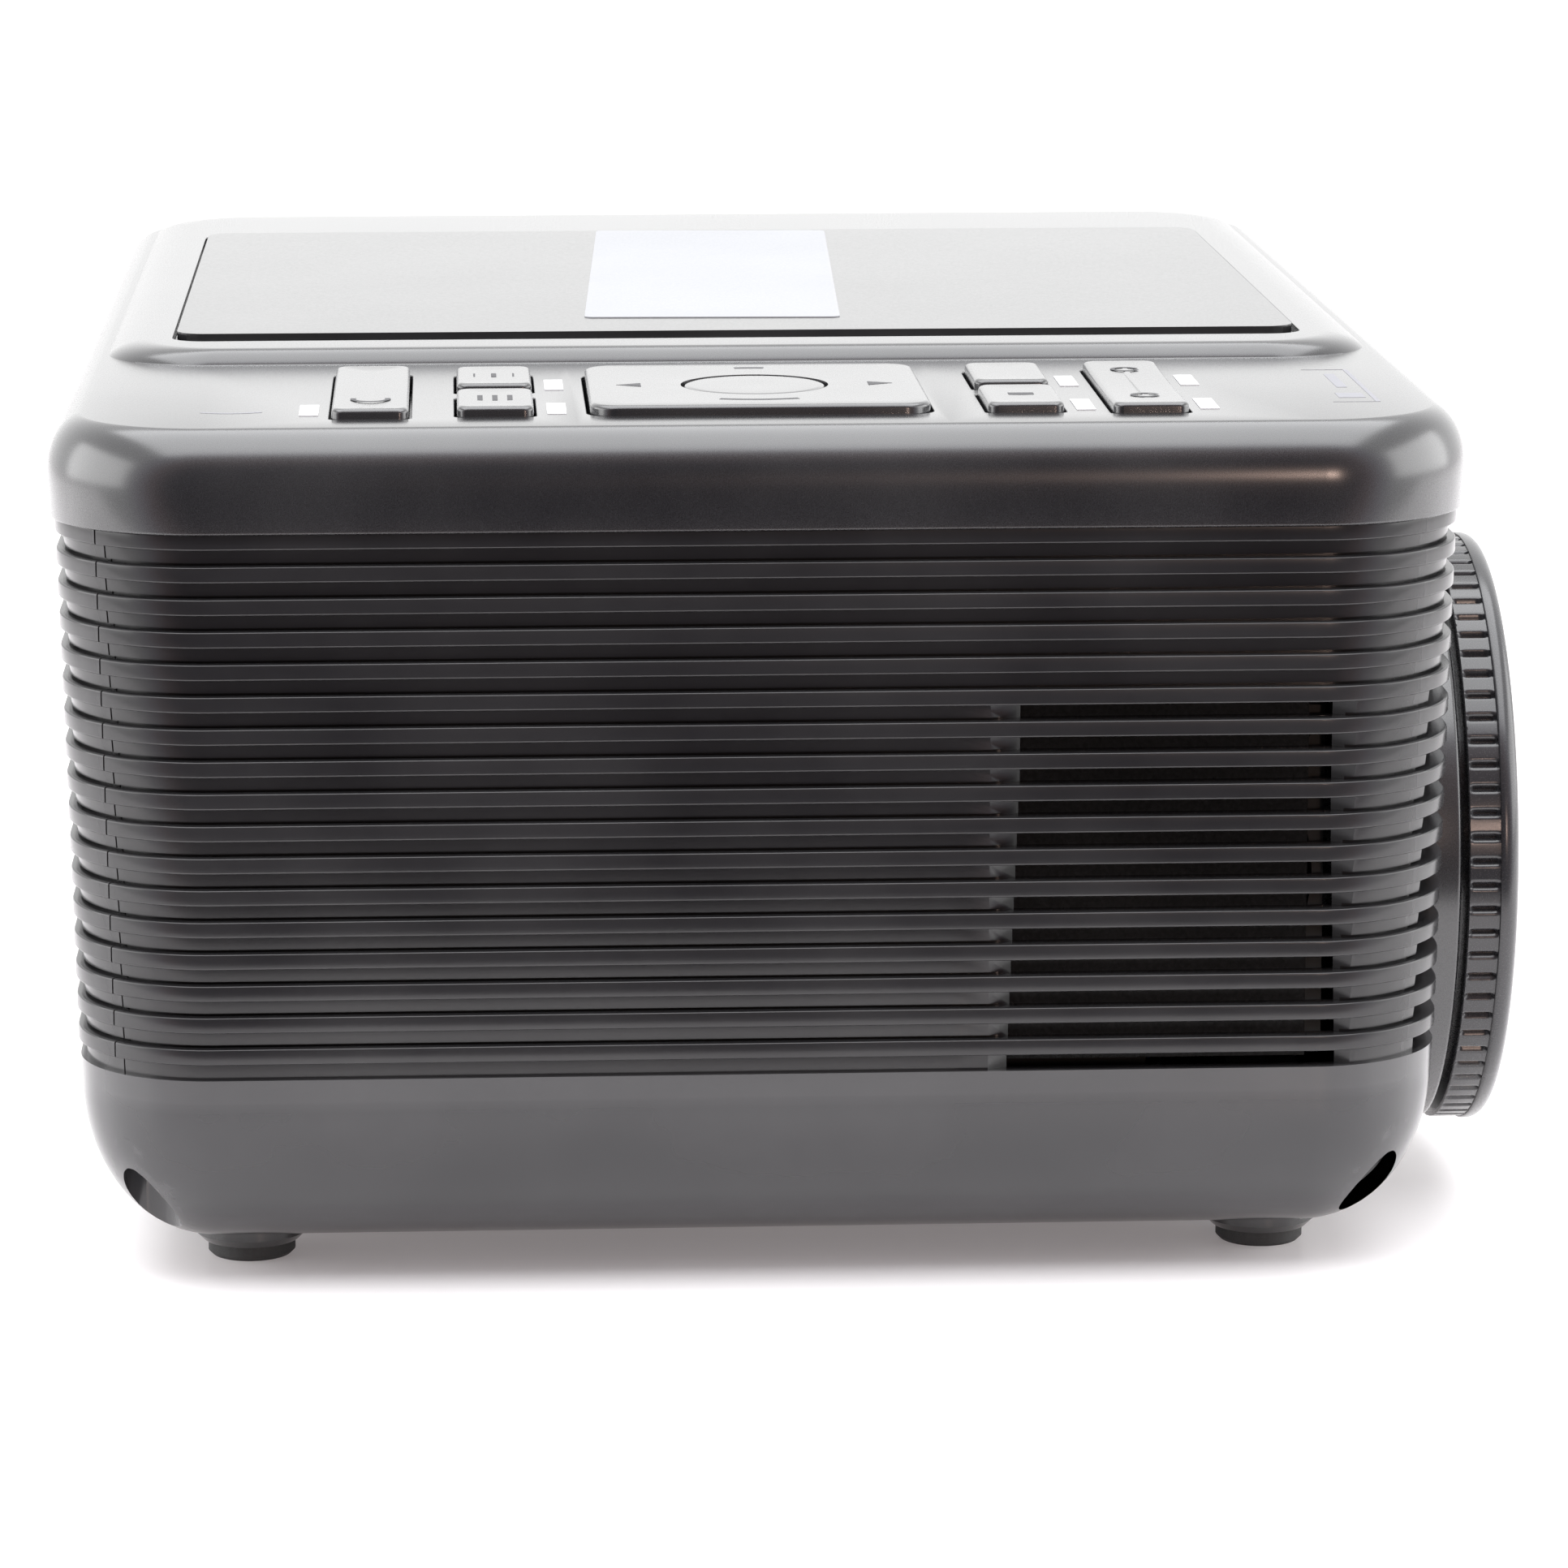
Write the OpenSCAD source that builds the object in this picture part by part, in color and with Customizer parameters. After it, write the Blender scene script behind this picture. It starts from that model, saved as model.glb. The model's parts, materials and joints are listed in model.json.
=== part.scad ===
// Compact video projector: a louvred case on screw-in feet, a control strip with
// keys and a menu pad, and a focusing lens that stands out of the front face.
// +X is the way the lens looks, -Y is the control side, +Z is up.
// The origin is the centre of the bounding box's base, on the table.

/* [Case] */
// Length of the case from rear face to front face
case_l = 210; // [206:1:214]
// Width of the case across the lens direction
case_w = 285; // [280:1:290]
// Radius of the upright corners
corner_r = 24; // [22:1:26]
// Height of the underside above the table
underside_z = 6; // [6:0.1:6.5]
// Height of the lower case half above the underside
bottom_h = 27.8; // [27:0.1:28.5]
// Height of the upper case half's rounded band
band_h = 14.9; // [14.5:0.1:15.5]
// Rise of the top platform above the control strip
platform_rise = 2.4; // [2.2:0.1:2.6]
// Wall thickness of the moulded case halves
wall = 2.5; // [2.3:0.1:2.6]

/* [Louvres] */
// Number of horizontal ribs round the case
rib_count = 17; // [17:1:17]
// Height of one rib and the groove under it
rib_pitch = 4.794; // [4.75:0.01:4.85]
// Height of a rib
rib_h = 2.4; // [2.2:0.1:2.6]
// Depth of the grooves between ribs
groove_d = 1.2; // [1:0.1:1.3]
// Step from the upper case half in to the top rib
rib_step = 1.2; // [1:0.1:1.4]
// How much further in each rib is than the rib above it
rib_taper = 0.115; // [0.1:0.005:0.13]
// Gap along the upright seams between wall panels
seam_gap = 0.3; // [0.2:0.05:0.4]
// Sideways step of a seam between rib and groove
seam_step = 1.2; // [1:0.1:1.4]

/* [Lens] */
// Sideways place of the lens axis
lens_y = -66; // [-68:0.5:-64]
// Height of the lens axis above the table
lens_z = 55; // [54.5:0.1:55.5]
// Outer radius of the focus ring
ring_r = 46.5; // [46.3:0.1:46.6]
// How far the focus ring stands out in front of the case
lens_out = 11; // [11:0.1:11.5]
// Number of grip grooves round the focus ring
grip_count = 88; // [60:1:90]
// Radius of the focusing barrel
barrel_r = 38.25; // [38:0.05:38.5]

/* [Keys] */
// Height of the key tops above the control strip
key_rise = 1.5; // [1.3:0.1:1.8]
// Gap between a key and its opening
key_gap = 0.4; // [0.4:0.05:0.5]
// Width of the narrow keys
key_w = 11.2; // [10.8:0.1:11.4]
// Length of the two tall keys
tall_key_l = 48.5; // [48:0.5:49]
// Length of the small keys
small_key_l = 20.5; // [20:0.1:20.8]
// Gap between the two small keys of a pair
small_key_gap = 4.6; // [4.2:0.1:5]
// Distance from the pad's centre to the inner keys
key_inner_x = 38.9; // [38.5:0.1:39.3]
// Distance from the pad's centre to the outer keys
key_outer_x = 57.2; // [57:0.1:58]
// Width of the menu pad
pad_w = 50; // [49:0.5:51]
// Length of the menu pad
pad_l = 46; // [45:0.5:46.5]

/* [Feet] */
// Distance of the feet from the case centre, along the case
foot_x = 77; // [75:0.5:79]
// Distance of the feet from the case centre, across the case
foot_y = 110; // [108:0.5:111]
// Radius of a foot's screw disc
foot_r = 8.5; // [8:0.1:8.8]
// Radius of a foot's rubber pad
pad_r = 6.6; // [6.2:0.1:6.8]
// Radius of a foot's threaded stud
stud_r = 3; // [3:0.5:3.5]

/* [Hidden] */
$fn = 64;

// The case centre sits behind the origin by half of what the lens stands out.
case_x = -lens_out / 2;

// Levels from the table up.
floor_z = underside_z + wall;
louvre_z = underside_z + bottom_h;
band_z = louvre_z + rib_count * rib_pitch;
strip_z = band_z + band_h;
platform_z = strip_z + platform_rise;
slant = sqrt(2);

// Outline of the two case halves: quarter ellipses above and below the louvres.
bottom_inset = 3.5;
draft = 0.2;
bottom_round_in = 18.5;
bottom_round_h = 24;
top_round_in = 6.5;
top_round_h = 9.5;
top_round_z = strip_z - 9.25;
top_round_end = 75.5;
round_steps = 8;
louvre_inner = 6;

// Platform and inlay plate, measured from the case centre. The plate lies in a recess
// that runs on in front of it by plate_lip and is shallower than the plate is thick.
platform_front = -68.5;
platform_back = 134;
platform_top_front = -65.5;
platform_top_back = 122;
platform_half = 99;
platform_top_half = 92;
plate_front = -51;
plate_back = 93;
plate_half = 88.5;
plate_t = 1.8;
recess_d = 1.4;
plate_gap = 0.5;
plate_lip = 6;
plate_z = platform_z - recess_d;
label_t = 0.15;

// Air slots: the first open groove, counted from the top, the length and depth of
// the slope at each end, and the stretches from end to end.
slot_first = 5;
slot_run = 4.6;
slot_ramp = 2.8;
right_slots = [[32.8, 88]];
left_slots = [[-47, -1], [1, 47]];
front_slots = [[-134.5, -112.5], [43, 97]];

// Case screws: each stands in a round well in a lower corner.
well_r = 4.25;
well_x = 91;
well_y = 128.4;
well_z = 24;
post_r = 3.4;
screw_r = 1.5;

// Lens group, along the lens axis from the case centre.
collar_r = ring_r - 0.5;
collar_end = 107.1;
journal_r = barrel_r + 3.25;
ring_start = collar_end + 1;
ring_end = case_l / 2 + lens_out;
grip_end = ring_end - 3.2;
fit = 0.05;

// Control strip: the keys share one centre line.
keys_y = -105;
key_top = strip_z + key_rise;
key_under = strip_z - wall;
small_key_y = (small_key_l + small_key_gap) / 2;
board_top = key_under - 6.5;
switch_h = 3.2;
key_travel = 0.6;
stem_z = board_top + switch_h + 0.15;
pad_corner = 4;
ok_r = 10.7;
pivot_z = board_top + 1.9;
pin_r = 0.8;

// Shape of a key: the bevelled cap, the flange under the case wall and the stem.
cap_step = 0.5;
cap_edge = 0.3;
cap_r = 0.8;
flange_t = 1.6;
flange_drop = 0.4;
stem_r = 1.7;

// Feet.
disc_z = 2.4;
disc_top = underside_z - 0.3;
stud_top = underside_z + 14;
boss_top = stud_top + 8;

// Optical box and fans.
tunnel_x = 51;
tunnel_z0 = 13;
tunnel_z1 = 97;
tunnel_wall = 2;
tunnel_front = -113;
tunnel_back = 76;
tunnel_h = tunnel_z1 - tunnel_z0 - tunnel_wall;
tunnel_side_y = -23;
panel_half = 48;
lamp_y = 80;
fan_t = 15;
exhaust_y = 119;
exhaust_z = 62;
intake_x = 58;
intake_y = -132;
intake_z = 62;

// Rear sockets: the flat bay they sit in and their centres.
bay_in = 4.6;
bay_y0 = -92;
bay_y1 = 96;
bay_z0 = 49;
bay_z1 = 92;
socket_x = -case_l / 2 + bay_in;
board_x = -case_l / 2 + 18;
hdmi_y = [70, 48];
hdmi_z = 60;
usb_y = 25;
usb_z = 56;
usb_step = 12;
jack_y = 5;
jack_z = 58;
jack_step = 13;
vga_y = 62;
vga_z = 79;
inlet_y = -70;
inlet_z = 70;
jack_r = 3.9;
ir_y = 20;
ir_z = 92;
ir_r = 4.5;

// Flat optics in the light tunnel.
lcd_y = 8;
fresnel_out_y = -6;
fresnel_in_y = 30;
panel_z0 = 21;
panel_z1 = 89;

// Loudspeaker.
speaker_y = 70;
speaker_z = 62;

module at_case() {
    translate([case_x, 0, 0])
        children();
}

// Rounded rectangle of the case, moved in by inset on every side.
module plan(inset) {
    l = case_l - 2 * inset;
    w = case_w - 2 * inset;
    r = corner_r - inset;
    square([l - 2 * r, w], center = true);
    square([l, w - 2 * r], center = true);
    for (sx = [-1, 1], sy = [-1, 1])
        translate([sx * (l / 2 - r), sy * (w / 2 - r)])
            circle(r);
}

// Smooth shell through a list of [height, inset] levels.
module shell(levels) {
    hull()
        for (level = levels)
            translate([0, 0, level[0]])
                linear_extrude(0.05)
                    plan(level[1], $fn = 48);
}

module box(size, at) {
    translate([at[0] - size[0] / 2, at[1] - size[1] / 2, at[2]])
        cube(size);
}

module slab(w, l, h, r) {
    linear_extrude(h) {
        square([w - 2 * r, l], center = true);
        square([w, l - 2 * r], center = true);
        for (sx = [-1, 1], sy = [-1, 1])
            translate([sx * (w / 2 - r), sy * (l / 2 - r)])
                circle(r, $fn = 32);
    }
}

module along_lens(x) {
    translate([x, lens_y, lens_z])
        rotate([0, 90, 0])
            children();
}

module corners(x, y) {
    for (sx = [-1, 1], sy = [-1, 1])
        translate([sx * x, sy * y, 0])
            children();
}

// ---- Case halves ----

function bottom_levels(t) = [
    for (i = [0 : round_steps])
        let (a = 90 * i / round_steps)
            [louvre_z - 3.8 - (bottom_round_h - t) * sin(a),
             bottom_inset + t + (bottom_round_in - t) * (1 - cos(a))]
];

function top_levels(t) = [
    for (i = [0 : round_steps])
        let (a = top_round_end * i / round_steps)
            [top_round_z + (top_round_h - t) * sin(a),
             t + top_round_in * (1 - cos(a))]
];

module lens_opening() {
    along_lens(case_l / 2 - 24)
        cylinder(r = collar_r + 0.3, h = 40, $fn = 96);
}

module outer_tub() {
    shell(concat([[louvre_z - 0.05, bottom_inset - draft]], bottom_levels(0)));
}

module bottom_cover() {
    color([0.13, 0.13, 0.14])
        at_case()
            difference() {
                union() {
                    difference() {
                        outer_tub();
                        shell(concat([[louvre_z + 1, bottom_inset + wall - draft]], bottom_levels(wall)));
                    }
                    intersection() {
                        outer_tub();
                        corners(well_x, well_y)
                            translate([0, 0, underside_z])
                                cylinder(r = well_r + 1.6, h = well_z - underside_z + 2);
                    }
                    corners(foot_x, foot_y)
                        translate([0, 0, floor_z - 1])
                            cylinder(r = stud_r + 2.5, h = boss_top - floor_z + 1);
                }
                corners(well_x, well_y) {
                    translate([0, 0, underside_z - 1])
                        cylinder(r = well_r, h = well_z - underside_z + 1);
                    cylinder(r = screw_r + 0.3, h = 40);
                }
                corners(foot_x, foot_y)
                    translate([0, 0, underside_z - 1])
                        cylinder(r = stud_r + fit, h = boss_top - underside_z - 1);
                lens_opening();
            }
}

module platform() {
    top = platform_rise;
    hull() {
        translate([0, (platform_front + platform_back) / 2, strip_z - 0.5])
            slab(2 * platform_half, platform_back - platform_front, 0.5, 16);
        translate([0, (platform_top_front + platform_top_back) / 2, strip_z + top - 0.1])
            slab(2 * platform_top_half, platform_top_back - platform_top_front, 0.1, 12);
    }
}

module key_opening(x, y, w, l, r = 1.2) {
    translate([x, y, strip_z - 20])
        slab(w + 2 * key_gap, l + 2 * key_gap, 40, r);
}

module top_cover() {
    recess_front = plate_front - plate_lip;
    recess_back = plate_back + plate_gap;
    color([0.12, 0.12, 0.13])
        at_case()
            difference() {
                union() {
                    difference() {
                        union() {
                            shell(concat([[band_z, 0]], top_levels(0)));
                            platform();
                        }
                        shell([[band_z - 1, louvre_inner - 1], [key_under - 0.05, louvre_inner]]);
                    }
                    corners(well_x, well_y)
                        translate([0, 0, well_z + 2])
                            cylinder(r = post_r, h = strip_z - well_z - 3);
                }
                corners(well_x, well_y)
                    translate([0, 0, well_z])
                        cylinder(r = screw_r + 0.02, h = 20);
                translate([0, (recess_front + recess_back) / 2, plate_z])
                    slab(2 * (plate_half + plate_gap), recess_back - recess_front, 5, 5);
                key_opening(-key_outer_x, keys_y, key_w, tall_key_l);
                key_opening(key_outer_x, keys_y, key_w, tall_key_l);
                for (sx = [-1, 1], sy = [-1, 1])
                    key_opening(sx * key_inner_x, keys_y + sy * small_key_y, key_w, small_key_l);
                key_opening(0, keys_y, pad_w + 0.2, pad_l + 0.2, pad_corner);
            }
}

module top_plate() {
    color([0.03, 0.03, 0.035])
        at_case()
            translate([0, (plate_front + plate_back) / 2, plate_z])
                slab(2 * plate_half, plate_back - plate_front, plate_t, 4.5);
}

module top_label() {
    color([0.86, 0.87, 0.89])
        at_case()
            translate([-1, 28, plate_z + plate_t])
                rotate(-2.2)
                    slab(41, 126, label_t, 1.5);
}

module key_labels() {
    label = [2.8, 11, 0.12];
    beside = 9;
    front_y = keys_y - 15;
    back_y = keys_y + 11;
    color([0.9, 0.9, 0.92])
        at_case() {
            box(label, [-key_outer_x - beside, front_y, strip_z]);
            for (x = [-key_inner_x, key_inner_x, key_outer_x], y = [front_y, back_y])
                box(label, [x + beside, y, strip_z]);
        }
}

module case_screws() {
    color([0.2, 0.2, 0.21])
        at_case()
            corners(well_x, well_y) {
                difference() {
                    translate([0, 0, well_z - 2.4])
                        cylinder(r = 3, h = 2.4);
                    box([0.8, 4, 1.2], [0, 0, well_z - 2.5]);
                    box([4, 0.8, 1.2], [0, 0, well_z - 2.5]);
                }
                translate([0, 0, well_z - 0.5])
                    cylinder(r = screw_r, h = 16);
            }
}

// ---- Louvred wall panels ----

function rib_top(k) = band_z - k * rib_pitch;

// Part of the wall between two 45 degree lines through the upright corners, facing -Y.
module side_sector(t) {
    cx = case_l / 2 - corner_r;
    cy = case_w / 2 - corner_r;
    polygon([[-cx + t * slant, -cy], [cx - t * slant, -cy],
             [cx - t * slant + 40, -cy - 40], [-cx + t * slant - 40, -cy - 40]]);
}

// The same facing +X.
module end_sector(t) {
    cx = case_l / 2 - corner_r;
    cy = case_w / 2 - corner_r;
    polygon([[cx, -cy - t * slant], [cx + 40, -cy - t * slant - 40],
             [cx + 40, cy + t * slant + 40], [cx, cy + t * slant]]);
}

module wall_ring(inset) {
    difference() {
        plan(inset);
        plan(louvre_inner);
    }
}

// Slots that open inwards from y = 0, with ends that slope down to the open stretch.
module slot_cuts(slots) {
    for (slot = slots)
        polygon([[slot[0], -1], [slot[1], -1], [slot[1], 0], [slot[1] - slot_run, slot_ramp],
                 [slot[1] - slot_run, louvre_inner + 2], [slot[0] + slot_run, louvre_inner + 2],
                 [slot[0] + slot_run, slot_ramp], [slot[0], 0]]);
}

module side_panel(slots) {
    for (k = [0 : rib_count - 1]) {
        inset = rib_step + k * rib_taper;
        translate([0, 0, rib_top(k) - rib_h])
            linear_extrude(rib_h)
                intersection() {
                    wall_ring(inset);
                    side_sector(seam_gap / 2);
                }
        translate([0, 0, rib_top(k + 1)])
            linear_extrude(rib_pitch - rib_h)
                difference() {
                    intersection() {
                        wall_ring(inset + groove_d);
                        side_sector(seam_gap / 2 + seam_step);
                    }
                    if (k >= slot_first)
                        translate([0, -case_w / 2 + inset + groove_d])
                            slot_cuts(slots);
                }
    }
}

module end_panel(slots) {
    for (k = [0 : rib_count - 1]) {
        inset = rib_step + k * rib_taper;
        translate([0, 0, rib_top(k) - rib_h])
            linear_extrude(rib_h)
                intersection() {
                    wall_ring(inset);
                    end_sector(-seam_gap / 2);
                }
        translate([0, 0, rib_top(k + 1)])
            linear_extrude(rib_pitch - rib_h)
                difference() {
                    intersection() {
                        wall_ring(inset + groove_d);
                        end_sector(seam_step - seam_gap / 2);
                    }
                    if (k >= slot_first)
                        translate([case_l / 2 - inset - groove_d, 0])
                            rotate(90)
                                slot_cuts(slots);
                }
    }
}

module side_panel_right() {
    color([0.15, 0.15, 0.16])
        at_case()
            side_panel(right_slots);
}

module side_panel_left() {
    color([0.15, 0.15, 0.16])
        at_case()
            mirror([0, 1, 0])
                side_panel(left_slots);
}

module front_panel() {
    color([0.15, 0.15, 0.16])
        at_case()
            difference() {
                end_panel(front_slots);
                lens_opening();
                translate([case_l / 2 - 10, ir_y, ir_z])
                    rotate([0, 90, 0])
                        cylinder(r = ir_r + 0.1, h = 20);
            }
}

// Flat bay that carries the sockets.
module socket_bay() {
    translate([-case_l / 2 + bay_in, bay_y0, bay_z0])
        cube([louvre_inner - bay_in, bay_y1 - bay_y0, bay_z1 - bay_z0]);
}

module rear_panel() {
    color([0.15, 0.15, 0.16])
        at_case()
            difference() {
                union() {
                    difference() {
                        mirror([1, 0, 0])
                            end_panel([]);
                        translate([-case_l / 2 - 1, bay_y0, bay_z0])
                            cube([louvre_inner + 2, bay_y1 - bay_y0, bay_z1 - bay_z0]);
                    }
                    socket_bay();
                }
                for (i = [0 : 1]) {
                    socket_hole(hdmi_y[i], hdmi_z, 15.6, 6.2);
                    socket_hole(usb_y, usb_z + i * usb_step, 14, 6.8);
                    jack_hole(jack_y, jack_z + i * jack_step);
                }
                socket_hole(vga_y, vga_z, 31, 12.6);
                socket_hole(inlet_y, inlet_z, 27.6, 20.1);
            }
}

// ---- Rear sockets ----

module socket_hole(y, z, w, h) {
    translate([socket_x - 3, y - w / 2, z - h / 2])
        cube([12, w, h]);
}

module jack_hole(y, z) {
    translate([socket_x - 3, y, z])
        rotate([0, 90, 0])
            cylinder(r = jack_r + 0.1, h = 12);
}

// Metal-shelled socket: an open box that reaches from the rear wall to the main board.
module socket_shell(y, z, w, h, t, tongue_h) {
    depth = board_x - socket_x;
    difference() {
        translate([socket_x, y - w / 2, z - h / 2])
            cube([depth, w, h]);
        translate([socket_x - 1, y - w / 2 + t, z - h / 2 + t])
            cube([depth - 1, w - 2 * t, h - 2 * t]);
    }
    translate([socket_x + 1.5, y - w / 2 + 2.5, z - tongue_h / 2])
        cube([depth - 2, w - 5, tongue_h]);
}

module hdmi_sockets() {
    color([0.7, 0.7, 0.72])
        at_case()
            for (y = hdmi_y)
                socket_shell(y, hdmi_z, 15, 5.6, 0.4, 0.9);
}

module usb_sockets() {
    color([0.72, 0.72, 0.74])
        at_case()
            for (i = [0 : 1])
                socket_shell(usb_y, usb_z + i * usb_step, 13.4, 6.2, 0.4, 1.2);
}

module vga_socket() {
    color([0.2, 0.25, 0.5])
        at_case()
            difference() {
                translate([socket_x, vga_y - 15.2, vga_z - 6])
                    cube([board_x - socket_x, 30.4, 12]);
                translate([socket_x - 1, vga_y - 8.2, vga_z - 4.2])
                    cube([6, 16.4, 8.4]);
                for (sy = [-1, 1])
                    translate([socket_x - 1, vga_y + sy * 12, vga_z])
                        rotate([0, 90, 0])
                            cylinder(r = 1.5, h = 8);
            }
}

module audio_jacks() {
    color([0.08, 0.08, 0.08])
        at_case()
            for (i = [0 : 1])
                translate([socket_x, jack_y, jack_z + i * jack_step])
                    difference() {
                        union() {
                            rotate([0, 90, 0])
                                cylinder(r = jack_r, h = 8);
                            translate([5, -4.5, -4.5])
                                cube([board_x - socket_x - 5, 9, 9]);
                        }
                        translate([-1, 0, 0])
                            rotate([0, 90, 0])
                                cylinder(r = 1.8, h = 12);
                    }
}

module power_inlet() {
    color([0.05, 0.05, 0.05])
        at_case()
            translate([socket_x, inlet_y, inlet_z]) {
                difference() {
                    translate([0, -13.6, -9.8])
                        cube([22, 27.2, 19.6]);
                    translate([-1, -12, -8.2])
                        cube([17, 24, 16.4]);
                }
                for (pin = [[-7, -1], [0, 3], [7, -1]])
                    translate([4, pin[0] - 2, pin[1] - 1])
                        cube([13, 4, 2]);
            }
}

module ir_window() {
    color([0.2, 0.02, 0.05])
        at_case()
            translate([case_l / 2 - 7, ir_y, ir_z])
                rotate([0, 90, 0])
                    cylinder(r = ir_r, h = 6);
}

// ---- Lens group ----

module lens_collar() {
    color([0.1, 0.1, 0.11])
        at_case()
            along_lens(0)
                rotate_extrude($fn = 128)
                    polygon([[barrel_r + fit, 64], [journal_r - 1.5, 64], [journal_r - 1.5, 90],
                             [collar_r, 90], [collar_r, collar_end - 0.5], [collar_r - 0.5, collar_end],
                             [journal_r, collar_end], [journal_r, ring_end - 2],
                             [barrel_r + fit, ring_end - 2]]);
}

module focus_ring() {
    band_r = ring_r - 0.3;
    bore = journal_r + fit;
    color([0.09, 0.09, 0.1])
        at_case()
            difference() {
                along_lens(0)
                    rotate_extrude($fn = 128)
                        polygon(concat(
                            [[bore, ring_start], [band_r - 0.5, ring_start], [band_r, ring_start + 0.5],
                             [band_r, grip_end], [ring_r, grip_end], [ring_r, ring_end - 2.2]],
                            [for (a = [15 : 15 : 90])
                                [ring_r - 2.2 + 2.2 * cos(a), ring_end - 2.2 + 2.2 * sin(a)]],
                            [[barrel_r + 1.2, ring_end], [barrel_r + 1.2, ring_end - 1.6],
                             [bore, ring_end - 1.6]]));
                along_lens(ring_start - 1)
                    for (i = [0 : grip_count - 1])
                        rotate(i * 360 / grip_count)
                            translate([band_r + 0.15, 0, 0])
                                cylinder(r = 0.75, h = grip_end - ring_start + 0.4, $fn = 16);
            }
}

module lens_barrel() {
    color([0.06, 0.06, 0.065])
        at_case()
            along_lens(0)
                rotate_extrude($fn = 128)
                    polygon([[36.9, 112.6], [barrel_r, 112.6], [barrel_r, 72], [24, 72], [24, 74],
                             [28, 74], [28, 84], [33.5, 90], [33.5, 103], [31, 104.5]]);
}

// Biconvex lens: where two balls overlap, trimmed to a rim.
module biconvex(r, ball_r, x, edge_t) {
    lift = sqrt(ball_r * ball_r - r * r) - edge_t / 2;
    along_lens(x)
        intersection() {
            translate([0, 0, lift])
                sphere(r = ball_r, $fn = 128);
            translate([0, 0, -lift])
                sphere(r = ball_r, $fn = 128);
            cylinder(r = r, h = 60, center = true);
        }
}

module front_lens() {
    color([0.75, 0.85, 0.95, 0.6])
        at_case()
            biconvex(33.4, 130, 98, 3);
}

module rear_lens() {
    color([0.75, 0.85, 0.95, 0.6])
        at_case()
            biconvex(27.9, 110, 79, 3);
}

// ---- Light path: lamp, condenser, Fresnel lens, LCD, Fresnel lens, mirror ----

module tray_plate(y, t, z0, z1) {
    translate([-panel_half - 1, y - t / 2, z0])
        cube([2 * panel_half + 2, t, z1 - z0]);
}

// Slots in the box that hold the LCD and the two Fresnel plates, [place, width].
module tray_slots() {
    for (slot = [[lcd_y, 3.2], [fresnel_out_y, 2.2], [fresnel_in_y, 2.2]])
        tray_plate(slot[0], slot[1], tunnel_z0 + 1, tunnel_z1 + 1);
}

// Box open on top and at the back. Its lens side is thick up to tunnel_side_y and thin behind.
module optical_housing() {
    depth = tunnel_back - tunnel_front;
    inner = 2 * (tunnel_x - tunnel_wall);
    color([0.08, 0.08, 0.085])
        at_case()
            difference() {
                union() {
                    difference() {
                        translate([-tunnel_x, tunnel_front, tunnel_z0])
                            cube([2 * tunnel_x + 8, depth, tunnel_h]);
                        translate([-inner / 2, tunnel_front + tunnel_wall, tunnel_z0 + tunnel_wall])
                            cube([inner, depth, tunnel_h]);
                        translate([inner / 2 - 1, tunnel_side_y, tunnel_z0 - 1])
                            cube([20, depth, tunnel_h + 2]);
                    }
                    translate([inner / 2, tunnel_side_y - 1, tunnel_z0])
                        cube([tunnel_wall, tunnel_back - tunnel_side_y + 1, tunnel_h]);
                }
                along_lens(tunnel_x - 10)
                    cylinder(r = barrel_r, h = 40);
                tray_slots();
            }
}

module optical_lid() {
    color([0.07, 0.07, 0.075])
        at_case()
            translate([-tunnel_x, tunnel_front, tunnel_z1 - tunnel_wall])
                cube([2 * tunnel_x, tunnel_back - tunnel_front, tunnel_wall]);
}

module fold_mirror() {
    color([0.85, 0.88, 0.9])
        at_case()
            translate([0, lens_y, panel_z0])
                rotate([0, 0, -45])
                    translate([-57, -3, 0])
                        cube([114, 3, panel_z1 - panel_z0]);
}

module lcd_panel() {
    color([0.1, 0.12, 0.15])
        at_case()
            tray_plate(lcd_y, 3, tunnel_z0 + 2, panel_z1);
}

module fresnel_in() {
    color([0.8, 0.85, 0.9, 0.6])
        at_case()
            tray_plate(fresnel_in_y, 2, tunnel_z0 + 2, panel_z1);
}

module fresnel_out() {
    color([0.8, 0.85, 0.9, 0.6])
        at_case()
            tray_plate(fresnel_out_y, 2, tunnel_z0 + 2, panel_z1);
}

module condenser_lens() {
    color([0.8, 0.88, 0.95, 0.6])
        at_case()
            intersection() {
                translate([0, lamp_y + 22, lens_z])
                    sphere(r = 42, $fn = 96);
                translate([0, lamp_y - 4, lens_z])
                    rotate([90, 0, 0])
                        cylinder(r = 28, h = 20);
            }
}

module led_module() {
    color([0.9, 0.85, 0.4])
        at_case() {
            translate([-25, lamp_y, lens_z - 25])
                cube([50, 2, 50]);
            translate([-12, lamp_y - 1.2, lens_z - 12])
                cube([24, 1.2, 24]);
        }
}

module led_heatsink() {
    color([0.7, 0.71, 0.73])
        at_case() {
            translate([-38, lamp_y + 2, lens_z - 36])
                cube([76, 5, 76]);
            for (i = [0 : 12])
                translate([-38 + i * 74.5 / 12, lamp_y + 7, lens_z - 36])
                    cube([1.5, 20, 76]);
        }
}

// ---- Fans: square frame with a hub on struts, and a bladed rotor ----

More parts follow.
